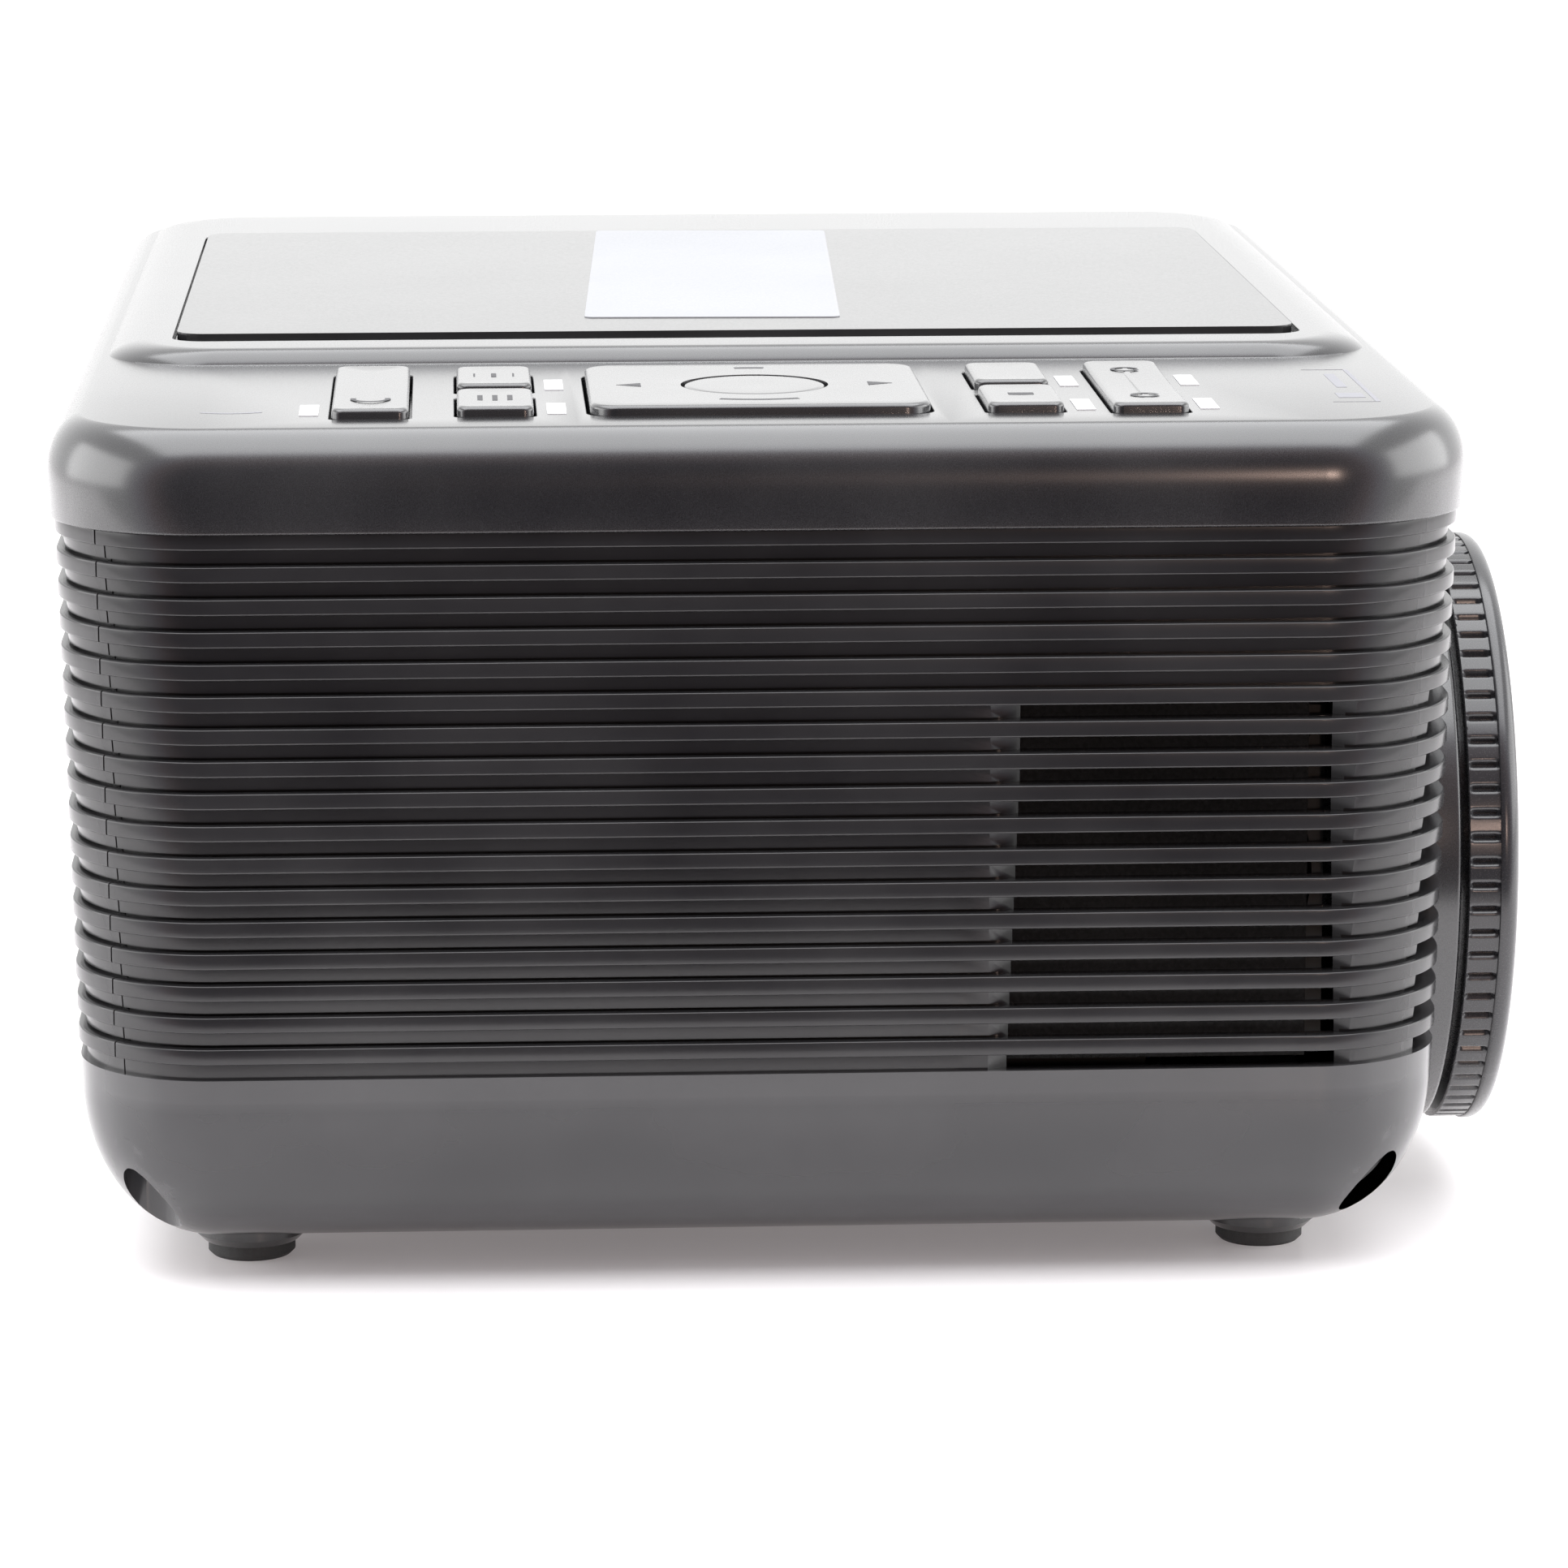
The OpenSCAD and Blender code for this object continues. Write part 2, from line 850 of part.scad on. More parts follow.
module fan_frame(size, y, at_x, at_z) {
    r = size / 2 - 1.7;
    translate([at_x, y, at_z])
        rotate([-90, 0, 0])
            difference() {
                union() {
                    difference() {
                        translate([-size / 2, -size / 2, 0])
                            cube([size, size, fan_t]);
                        translate([0, 0, -1])
                            cylinder(r = r, h = fan_t + 2);
                    }
                    cylinder(r = size / 5, h = 2);
                    for (a = [45, 135])
                        rotate(a)
                            translate([-r - 1, -1.5, 0.1])
                                cube([2 * r + 2, 3, 1.7]);
                    cylinder(r = 3.5, h = 8);
                }
                translate([0, 0, -1])
                    cylinder(r = 1.5 + fit, h = 20);
                for (sx = [-1, 1], sz = [-1, 1])
                    translate([sx * (size / 2 - 3.8), sz * (size / 2 - 3.8), -1])
                        cylinder(r = 1.8, h = fan_t + 2);
            }
}

module fan_rotor(size, y, at_x, at_z, blades) {
    hub = size / 5;
    translate([at_x, y, at_z])
        rotate([-90, 0, 0])
            difference() {
                union() {
                    translate([0, 0, 3])
                        cylinder(r = hub, h = fan_t - 4.5);
                    for (i = [0 : blades - 1])
                        rotate(i * 360 / blades)
                            translate([hub - 1, 0, 8])
                                rotate([35, 0, 0])
                                    translate([0, -5.5, -0.6])
                                        cube([size / 2 - hub - 3, 11, 1.2]);
                }
                difference() {
                    translate([0, 0, 2])
                        cylinder(r = hub - 1.5, h = fan_t - 5);
                    cylinder(r = 1.5, h = 20);
                }
            }
}

module exhaust_fan_frame() {
    color([0.07, 0.07, 0.07])
        at_case()
            fan_frame(80, exhaust_y, 0, exhaust_z);
}

module exhaust_fan_rotor() {
    color([0.1, 0.1, 0.1])
        at_case()
            fan_rotor(80, exhaust_y, 0, exhaust_z, 7);
}

module intake_fan_frame() {
    color([0.07, 0.07, 0.07])
        at_case()
            fan_frame(50, intake_y, intake_x, intake_z);
}

module intake_fan_rotor() {
    color([0.1, 0.1, 0.1])
        at_case()
            fan_rotor(50, intake_y, intake_x, intake_z, 7);
}

module dust_filter() {
    color([0.3, 0.3, 0.32])
        at_case()
            translate([31, -case_w / 2 + louvre_inner, 35])
                cube([49, 2, 60]);
}

// ---- Boards ----

module main_board() {
    color([0.05, 0.3, 0.15])
        at_case() {
            translate([board_x, -52, 40])
                cube([1.6, 160, 66]);
            translate([board_x + 1.6, 30, 60])
                cube([2, 18, 18]);
            translate([board_x + 1.6, 0, 60])
                cube([1.2, 12, 10]);
            for (y = [-40, -30, 70, 82])
                translate([board_x + 1.6, y, 90])
                    rotate([0, 90, 0])
                        cylinder(r = 4, h = 10);
        }
}

module power_board() {
    color([0.6, 0.5, 0.3])
        at_case() {
            translate([-97, -102, 27])
                cube([36, 90, 1.6]);
            translate([-84, -60, 28.6])
                cube([22, 24, 20]);
            for (y = [-92, -74])
                translate([-80, y, 28.6])
                    cylinder(r = 8, h = 24);
            for (x = [-80, -64], y = [-90, -16])
                translate([x, y, floor_z + 0.1])
                    cylinder(r = 2.6, h = 27 - floor_z);
        }
}

module keypad_board() {
    color([0.05, 0.3, 0.15])
        at_case()
            translate([-68, keys_y - 26, board_top - 1.6])
                cube([136, 50, 1.6]);
}

module tact(x, y, h = switch_h) {
    translate([x, y, board_top]) {
        translate([-3, -3, 0])
            cube([6, 6, h - 0.8]);
        cylinder(r = stem_r, h = h);
    }
}

module key_switches() {
    color([0.1, 0.1, 0.1])
        at_case() {
            tact(-key_outer_x, keys_y);
            for (sx = [-1, 1], sy = [-1, 1])
                tact(sx * key_inner_x, keys_y + sy * small_key_y);
            for (s = [-1, 1]) {
                tact(key_outer_x, keys_y + s * 15, switch_h - 0.2);
                tact(s * 20, keys_y, switch_h - 0.2);
                tact(0, keys_y + s * 17, switch_h - 0.2);
            }
            tact(0, keys_y, switch_h - 0.4);
        }
}

// ---- Keys ----

// Cap with a wider flange under the case wall and a stem down to its switch.
module key(x, y, l) {
    flange_z = key_under - flange_drop - flange_t;
    translate([x, y, 0]) {
        translate([0, 0, flange_z])
            slab(key_w + 1.6, l + 1.2, flange_t, cap_r);
        translate([0, 0, flange_z + flange_drop])
            slab(key_w, l, key_top - cap_step - flange_z - flange_drop, cap_r);
        translate([0, 0, key_top - cap_step])
            slab(key_w - 2 * cap_edge, l - 2 * cap_edge, cap_step, cap_r - 0.2);
        translate([0, 0, stem_z + key_travel])
            cylinder(r = stem_r, h = key_under - 1 - stem_z - key_travel);
    }
}

module power_key() {
    color([0.2, 0.2, 0.21])
        at_case()
            key(-key_outer_x, keys_y, tall_key_l);
}

module small_key(sx, sy) {
    color([0.2, 0.2, 0.21])
        at_case()
            key(sx * key_inner_x, keys_y + sy * small_key_y, small_key_l);
}

module key_menu() small_key(-1, -1);
module key_source() small_key(-1, 1);
module key_back() small_key(1, -1);
module key_mode() small_key(1, 1);

module rocker_key() {
    rocker_l = tall_key_l - 0.6;
    color([0.2, 0.2, 0.21])
        at_case()
            translate([key_outer_x, keys_y, 0]) {
                translate([0, 0, key_under - 3])
                    slab(key_w, rocker_l, key_top - cap_step - key_under + 3, cap_r);
                translate([0, 0, key_top - cap_step])
                    slab(key_w - 2 * cap_edge, rocker_l - 2 * cap_edge, cap_step, cap_r - 0.2);
                translate([-key_w / 2, -2, pivot_z - 1.2])
                    difference() {
                        cube([key_w, 4, key_under - pivot_z]);
                        translate([-1, 2, 1.2])
                            rotate([0, 90, 0])
                                cylinder(r = pin_r + fit, h = key_w + 2);
                    }
            }
}

module nav_pad() {
    color([0.2, 0.2, 0.21])
        at_case()
            difference() {
                union() {
                    translate([0, keys_y, key_under - 1.8])
                        slab(pad_w, pad_l, key_top - cap_step - key_under + 1.8, pad_corner);
                    translate([0, keys_y, key_top - cap_step])
                        slab(pad_w - 2 * cap_edge, pad_l - 2 * cap_edge, cap_step, pad_corner - 0.2);
                    for (sx = [-1, 1])
                        box([2.4, 4, key_under - pivot_z - 0.4], [sx * 12.4, keys_y, pivot_z - 1.35]);
                }
                translate([0, keys_y, key_under - 10])
                    cylinder(r = ok_r + 0.35, h = 30);
                translate([-20, keys_y, pivot_z])
                    rotate([0, 90, 0])
                        cylinder(r = pin_r + fit, h = 40);
            }
}

module ok_key() {
    color([0.2, 0.2, 0.21])
        at_case()
            translate([0, keys_y, 0]) {
                translate([0, 0, key_under - 0.6])
                    cylinder(r = ok_r, h = key_top - key_under + 0.2);
                translate([0, 0, key_top - 0.4])
                    cylinder(r = ok_r - 0.4, h = 0.4);
                translate([0, 0, board_top + switch_h - 0.4 + key_travel + 0.3])
                    cylinder(r = 2.5, h = 4);
            }
}

// Ring under the menu pad: it tilts on pins along Y and carries the pad on pins along X.
module nav_gimbal() {
    pin_l = 3.8;
    color([0.75, 0.75, 0.77])
        at_case()
            translate([0, keys_y, pivot_z]) {
                difference() {
                    translate([0, 0, -1])
                        cylinder(r = 10.4, h = 2);
                    translate([0, 0, -2])
                        cylinder(r = 7.5, h = 4);
                }
                for (s = [-1, 1]) {
                    translate([s * 11.9 - pin_l / 2, 0, 0])
                        rotate([0, 90, 0])
                            cylinder(r = pin_r, h = pin_l);
                    translate([0, s * 11.9 + pin_l / 2, 0])
                        rotate([90, 0, 0])
                            cylinder(r = pin_r, h = pin_l);
                }
            }
}

// Bearing posts on the keypad board: two for the pivot ring and two for the rocker's pin.
module nav_posts() {
    color([0.15, 0.15, 0.16])
        at_case() {
            for (s = [-1, 1])
                translate([-2, keys_y + s * 12.4 - 1.2, board_top])
                    difference() {
                        cube([4, 2.4, pivot_z - board_top + 1.6]);
                        translate([2, -1, pivot_z - board_top])
                            rotate([-90, 0, 0])
                                cylinder(r = pin_r + fit, h = 5);
                    }
            for (s = [-1, 1])
                translate([key_outer_x + s * (key_w / 2 + 1.3) - 1, keys_y - 2, board_top])
                    cube([2, 4, pivot_z - board_top + 1.6]);
            translate([key_outer_x - key_w / 2 - 1, keys_y, pivot_z])
                rotate([0, 90, 0])
                    cylinder(r = pin_r, h = key_w + 2);
        }
}

// ---- Loudspeaker ----

module speaker_frame() {
    color([0.1, 0.1, 0.1])
        at_case()
            translate([case_l / 2 - louvre_inner - 0.5, speaker_y, speaker_z])
                rotate([0, -90, 0]) {
                    difference() {
                        cylinder(r = 26, h = 10);
                        translate([0, 0, -1])
                            cylinder(r = 23, h = 9);
                        translate([0, 0, -1])
                            cylinder(r = 12, h = 20);
                    }
                    translate([0, 0, 9])
                        cylinder(r = 16, h = 9);
                }
}

module speaker_cone() {
    color([0.3, 0.3, 0.3])
        at_case()
            translate([case_l / 2 - louvre_inner - 1.5, speaker_y, speaker_z])
                rotate([0, -90, 0])
                    rotate_extrude($fn = 64)
                        polygon([[0, 4], [8, 6.8], [22.9, 0], [22.9, 0.8], [8, 7.8], [0, 5]]);
}

// ---- Feet: a screw with a disc, and a rubber pad that swivels on it ----

module foot_screw(sx, sy) {
    color([0.12, 0.12, 0.12])
        at_case()
            translate([sx * foot_x, sy * foot_y, 0])
                difference() {
                    union() {
                        rotate_extrude()
                            polygon([[0, disc_z], [pad_r + 0.7, disc_z], [foot_r, disc_z + 1.2],
                                     [foot_r, disc_top - 0.4], [foot_r - 0.4, disc_top], [0, disc_top]]);
                        translate([0, 0, disc_top - 0.1])
                            cylinder(r = stud_r, h = stud_top - disc_top + 0.1);
                    }
                    translate([0, 0, disc_z - 1])
                        cylinder(r = 2 + fit, h = 4);
                }
}

module foot_pad(sx, sy) {
    color([0.06, 0.06, 0.06])
        at_case()
            translate([sx * foot_x, sy * foot_y, 0]) {
                rotate_extrude()
                    polygon([[0, 0], [pad_r - 0.6, 0], [pad_r, 0.6],
                             [pad_r, disc_z - 0.05], [0, disc_z - 0.05]]);
                translate([0, 0, disc_z - 0.2])
                    cylinder(r = 2, h = 2.8);
            }
}

module foot_screw_fr() foot_screw(1, -1);
module foot_screw_fl() foot_screw(1, 1);
module foot_screw_rr() foot_screw(-1, -1);
module foot_screw_rl() foot_screw(-1, 1);
module foot_pad_fr() foot_pad(1, -1);
module foot_pad_fl() foot_pad(1, 1);
module foot_pad_rr() foot_pad(-1, -1);
module foot_pad_rl() foot_pad(-1, 1);

bottom_cover();
top_cover();
side_panel_right();
side_panel_left();
front_panel();
rear_panel();
top_plate();
top_label();
key_labels();
case_screws();
lens_collar();
focus_ring();
lens_barrel();
front_lens();
rear_lens();
optical_housing();
optical_lid();
fold_mirror();
lcd_panel();
fresnel_in();
fresnel_out();
condenser_lens();
led_module();
led_heatsink();
exhaust_fan_frame();
exhaust_fan_rotor();
intake_fan_frame();
intake_fan_rotor();
dust_filter();
main_board();
power_board();
keypad_board();
key_switches();
nav_posts();
nav_gimbal();
hdmi_sockets();
usb_sockets();
vga_socket();
audio_jacks();
power_inlet();
ir_window();
speaker_frame();
speaker_cone();
power_key();
key_menu();
key_source();
key_back();
key_mode();
nav_pad();
ok_key();
rocker_key();
foot_screw_fr();
foot_screw_fl();
foot_screw_rr();
foot_screw_rl();
foot_pad_fr();
foot_pad_fl();
foot_pad_rr();
foot_pad_rl();
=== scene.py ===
# Looks of the compact video projector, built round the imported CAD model.
# Lengths are in millimetres and turned into metres by place(), unless a comment says otherwise.
import json
import math

import bmesh
import bpy
from mathutils import Matrix, Vector


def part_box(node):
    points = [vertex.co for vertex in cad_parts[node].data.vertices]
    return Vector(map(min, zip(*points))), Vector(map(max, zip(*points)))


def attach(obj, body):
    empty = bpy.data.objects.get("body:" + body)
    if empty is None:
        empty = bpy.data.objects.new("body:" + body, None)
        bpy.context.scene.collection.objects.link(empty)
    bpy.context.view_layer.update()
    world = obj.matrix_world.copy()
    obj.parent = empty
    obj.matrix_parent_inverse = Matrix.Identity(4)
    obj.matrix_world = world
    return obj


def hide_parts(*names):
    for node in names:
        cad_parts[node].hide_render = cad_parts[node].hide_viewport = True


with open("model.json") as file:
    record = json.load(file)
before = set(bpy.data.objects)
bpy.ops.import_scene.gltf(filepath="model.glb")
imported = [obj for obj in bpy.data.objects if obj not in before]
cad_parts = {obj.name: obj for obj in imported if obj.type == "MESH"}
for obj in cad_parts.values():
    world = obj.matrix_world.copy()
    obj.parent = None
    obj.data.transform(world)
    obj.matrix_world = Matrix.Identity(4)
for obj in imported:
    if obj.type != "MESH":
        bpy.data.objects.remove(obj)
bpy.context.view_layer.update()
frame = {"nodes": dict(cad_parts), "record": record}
nodes = frame["nodes"]
MM = 0.001

# ---- Main sizes, in millimetres from the case centre; z is from the table ----

HALF_L = 105
HALF_W = 142.5
CORNER_R = 24
WALL = 2.5
LOUVRE_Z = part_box("side_panel_right")[0].z / MM
BAND_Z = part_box("side_panel_right")[1].z / MM
PLATFORM_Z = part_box("top_cover")[1].z / MM
PLATFORM_RISE = 2.4
STRIP_Z = PLATFORM_Z - PLATFORM_RISE
CASE_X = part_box("top_cover")[1].x / MM - HALF_L
KEY_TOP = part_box("power_key")[1].z / MM
KEY_UNDER = STRIP_Z - WALL
KEYS_Y = -105
KEY_GAP = 0.4
KEY_W, TALL_KEY_L, SMALL_KEY_L = 11.2, 48.5, 20.5
SMALL_KEY_Y = 12.55
INNER_KEY_X, OUTER_KEY_X = 38.9, 57.2
PAD_W, PAD_L, PAD_CORNER = 50, 46, 4
OK_R = 10.7
LENS_Y, LENS_Z = -66, 55
LENS_OPENING_R = 46.3
IR_Y, IR_Z, IR_OPENING_R = 20, 92, 4.6
LOUVRE_INNER = 6
RIBS = 17
RIB_PITCH = (BAND_Z - LOUVRE_Z) / RIBS
RIB_H = 2.4
RIB_STEP, RIB_TAPER = 1.2, 0.115
GROOVE_D = 1.2
SEAM_GAP, SEAM_STEP = 0.3, 0.8
CLOSED_SEAM = 0.01
WELL_X, WELL_Y, WELL_R, WELL_Z = 91, 128.4, 4.25, 24
FOOT_X, FOOT_Y = 77, 110

CORNER_STEPS = 20
SIDE_STEPS = 6


# ---- Mesh helpers ----

TURNS = {"Z": Matrix.Identity(4), "X": Matrix.Rotation(math.pi / 2, 4, "Y")}


def place(x, y, z):
    return Vector(((x + CASE_X) * MM, y * MM, z * MM))


def new_object(name, bm):
    bmesh.ops.recalc_face_normals(bm, faces=bm.faces)
    mesh = bpy.data.meshes.new(name)
    bm.to_mesh(mesh)
    bm.free()
    obj = bpy.data.objects.new(name, mesh)
    bpy.context.scene.collection.objects.link(obj)
    return obj


def rounded_ring(x0, x1, y0, y1, r, z):
    """Anticlockwise rounded rectangle, with the same number of points whatever its size."""
    corners = [(x1 - r, y0 + r, -90), (x1 - r, y1 - r, 0), (x0 + r, y1 - r, 90), (x0 + r, y0 + r, 180)]
    bends = []
    for cx, cy, start in corners:
        angles = [math.radians(start + 90 * s / CORNER_STEPS) for s in range(CORNER_STEPS + 1)]
        bends.append([(cx + r * math.cos(a), cy + r * math.sin(a)) for a in angles])
    points = []
    for bend, after in zip(bends, bends[1:] + bends[:1]):
        points += bend
        (x, y), (nx, ny) = bend[-1], after[0]
        for s in range(1, SIDE_STEPS):
            t = s / SIDE_STEPS
            points.append((x + (nx - x) * t, y + (ny - y) * t))
    return [place(x, y, z) for x, y in points]


def centred_ring(cx, cy, w, l, r, z):
    return rounded_ring(cx - w / 2, cx + w / 2, cy - l / 2, cy + l / 2, r, z)


def case_ring(inset, z):
    return rounded_ring(inset - HALF_L, HALF_L - inset, inset - HALF_W, HALF_W - inset, CORNER_R - inset, z)


def add_band(bm, a, b):
    """Faces between two closed rows of corners."""
    count = len(a)
    for i in range(count):
        j = (i + 1) % count
        bm.faces.new((a[i], a[j], b[j], b[i]))


def add_loft(bm, rings):
    """Closed skin through rings of equal length, with a flat face on the first and the last."""
    loops = [[bm.verts.new(p) for p in ring] for ring in rings]
    for a, b in zip(loops, loops[1:]):
        add_band(bm, a, b)
    bm.faces.new(list(reversed(loops[0])))
    bm.faces.new(loops[-1])


def loft(name, rings):
    bm = bmesh.new()
    add_loft(bm, rings)
    return new_object(name, bm)


def slab(name, cx, cy, w, l, r, z0, z1):
    return loft(name, [centred_ring(cx, cy, w, l, r, z) for z in (z0, z1)])


def block(name, x0, x1, y0, y1, z0, z1):
    bm = bmesh.new()
    add_loft(bm, [[place(x, y, z) for x, y in ((x0, y0), (x1, y0), (x1, y1), (x0, y1))] for z in (z0, z1)])
    return new_object(name, bm)


def rod(name, x, y, z, r, length, along="Z", steps=96):
    """Round bar centred on a point."""
    bm = bmesh.new()
    bmesh.ops.create_cone(bm, cap_ends=True, segments=steps, radius1=r * MM, radius2=r * MM, depth=length * MM)
    bmesh.ops.transform(bm, matrix=Matrix.Translation(place(x, y, z)) @ TURNS[along], verts=bm.verts)
    return new_object(name, bm)


def lathe(name, profile_at, steps=256):
    """Solid turned about the lens axis; profile_at(turn) gives its (radius, x) points."""
    bm = bmesh.new()
    rows = []
    for i in range(steps):
        turn = i / steps
        a = 2 * math.pi * turn
        rows.append([bm.verts.new(place(x, LENS_Y + r * math.cos(a), LENS_Z + r * math.sin(a)))
                     for r, x in profile_at(turn)])
    for a, b in zip(rows, rows[1:] + rows[:1]):
        add_band(bm, a, b)
    return new_object(name, bm)


def corners_at(x, y):
    return [(sx * x, sy * y) for sx in (-1, 1) for sy in (-1, 1)]


def join(name, parts):
    """One object from several, which are removed."""
    bm = bmesh.new()
    for part in parts:
        bm.from_mesh(part.data)
        bpy.data.objects.remove(part)
    return new_object(name, bm)


def combine(obj, others, operation):
    """Cuts the others out of obj, adds them or keeps what they share, and removes them."""
    for other in others:
        step = obj.modifiers.new("combine", "BOOLEAN")
        step.operation = operation
        step.solver = "EXACT"
        step.object = other
    bpy.context.view_layer.update()
    shape = obj.evaluated_get(bpy.context.evaluated_depsgraph_get())
    mesh = bpy.data.meshes.new_from_object(shape)
    obj.modifiers.clear()
    obj.data = mesh
    for other in others:
        bpy.data.objects.remove(other)
    return obj


def smooth(obj, angle=35):
    obj.data.shade_smooth()
    obj.data.set_sharp_from_angle(angle=math.radians(angle))
    return obj


def soften(obj, width, segments=2, angle=40):
    """Small rounded edges, with shading that follows them."""
    bevel = obj.modifiers.new("edges", "BEVEL")
    bevel.width = width * MM
    bevel.segments = segments
    bevel.limit_method = "ANGLE"
    bevel.angle_limit = math.radians(angle)
    bevel.harden_normals = True
    return obj


def finish_piece(obj, body, slot, look, *replaced):
    obj.data.materials.clear()
    obj.data.materials.append(look)
    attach(obj, body)
    if replaced:
        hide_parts(*replaced)
    return obj


# ---- Materials ----


def shader_of(mat):
    return mat.node_tree.nodes["Principled BSDF"]


def base_material(name, colour, roughness, metallic=0.0):
    mat = bpy.data.materials.new(name)
    mat.use_nodes = True
    shader = shader_of(mat)
    shader.inputs["Base Color"].default_value = (*colour, 1)
    shader.inputs["Roughness"].default_value = roughness
    shader.inputs["Metallic"].default_value = metallic
    return mat


def noise_node(tree, scale, detail, stretch=(1, 1, 1)):
    coords = tree.nodes.new("ShaderNodeTexCoord")
    mapping = tree.nodes.new("ShaderNodeMapping")
    mapping.inputs["Scale"].default_value = stretch
    noise = tree.nodes.new("ShaderNodeTexNoise")
    noise.inputs["Scale"].default_value = scale
    noise.inputs["Detail"].default_value = detail
    tree.links.new(coords.outputs["Object"], mapping.inputs["Vector"])
    tree.links.new(mapping.outputs["Vector"], noise.inputs["Vector"])
    return noise


def spread(tree, source, low, high):
    """Maps the middle of a noise to the range low to high."""
    node = tree.nodes.new("ShaderNodeMapRange")
    node.inputs["From Min"].default_value = 0.3
    node.inputs["From Max"].default_value = 0.7
    node.inputs["To Min"].default_value = low
    node.inputs["To Max"].default_value = high
    tree.links.new(source, node.inputs["Value"])
    return node.outputs["Result"]


def worn(tree, colour, lift):
    """Base colour that grows lighter on worn edges and drifts a little across the surface."""
    geometry = tree.nodes.new("ShaderNodeNewGeometry")
    edge = tree.nodes.new("ShaderNodeMapRange")
    edge.inputs["From Min"].default_value = 0.54
    edge.inputs["From Max"].default_value = 0.64
    edge.inputs["To Max"].default_value = lift
    tree.links.new(geometry.outputs["Pointiness"], edge.inputs["Value"])
    drift = spread(tree, noise_node(tree, 35, 3).outputs["Fac"], 0.0, 0.18)
    total = tree.nodes.new("ShaderNodeMath")
    total.operation = "ADD"
    tree.links.new(edge.outputs["Result"], total.inputs[0])
    tree.links.new(drift, total.inputs[1])
    mix = tree.nodes.new("ShaderNodeMix")
    mix.data_type = "RGBA"
    mix.inputs["A"].default_value = (*colour, 1)
    mix.inputs["B"].default_value = (*[c + 0.07 for c in colour], 1)
    tree.links.new(total.outputs["Value"], mix.inputs["Factor"])
    return mix.outputs["Result"]


def textured(name, colour, rough, scale=5000, bump=0.2, depth=0.03, metallic=0.0, coat=0.0, wear=0.25,
             stretch=(1, 1, 1)):
    """Grained surface: fine noise drives roughness and bump, edges are a little worn."""
    mat = base_material(name, colour, rough[0], metallic)
    tree = mat.node_tree
    shader = shader_of(mat)
    fine = noise_node(tree, scale, 3, stretch)
    tree.links.new(spread(tree, fine.outputs["Fac"], *rough), shader.inputs["Roughness"])
    tree.links.new(worn(tree, colour, wear), shader.inputs["Base Color"])
    bumps = tree.nodes.new("ShaderNodeBump")
    bumps.inputs["Strength"].default_value = bump
    bumps.inputs["Distance"].default_value = depth * MM
    tree.links.new(fine.outputs["Fac"], bumps.inputs["Height"])
    tree.links.new(bumps.outputs["Normal"], shader.inputs["Normal"])
    shader.inputs["Coat Weight"].default_value = coat
    shader.inputs["Coat Roughness"].default_value = rough[0]
    return mat


def glass(name, tint, roughness):
    mat = base_material(name, tint, roughness)
    shader_of(mat).inputs["Transmission Weight"].default_value = 1
    shader_of(mat).inputs["Coat Weight"].default_value = 0.6
    shader_of(mat).inputs["Coat Tint"].default_value = (0.55, 0.5, 1.0, 1)
    return mat


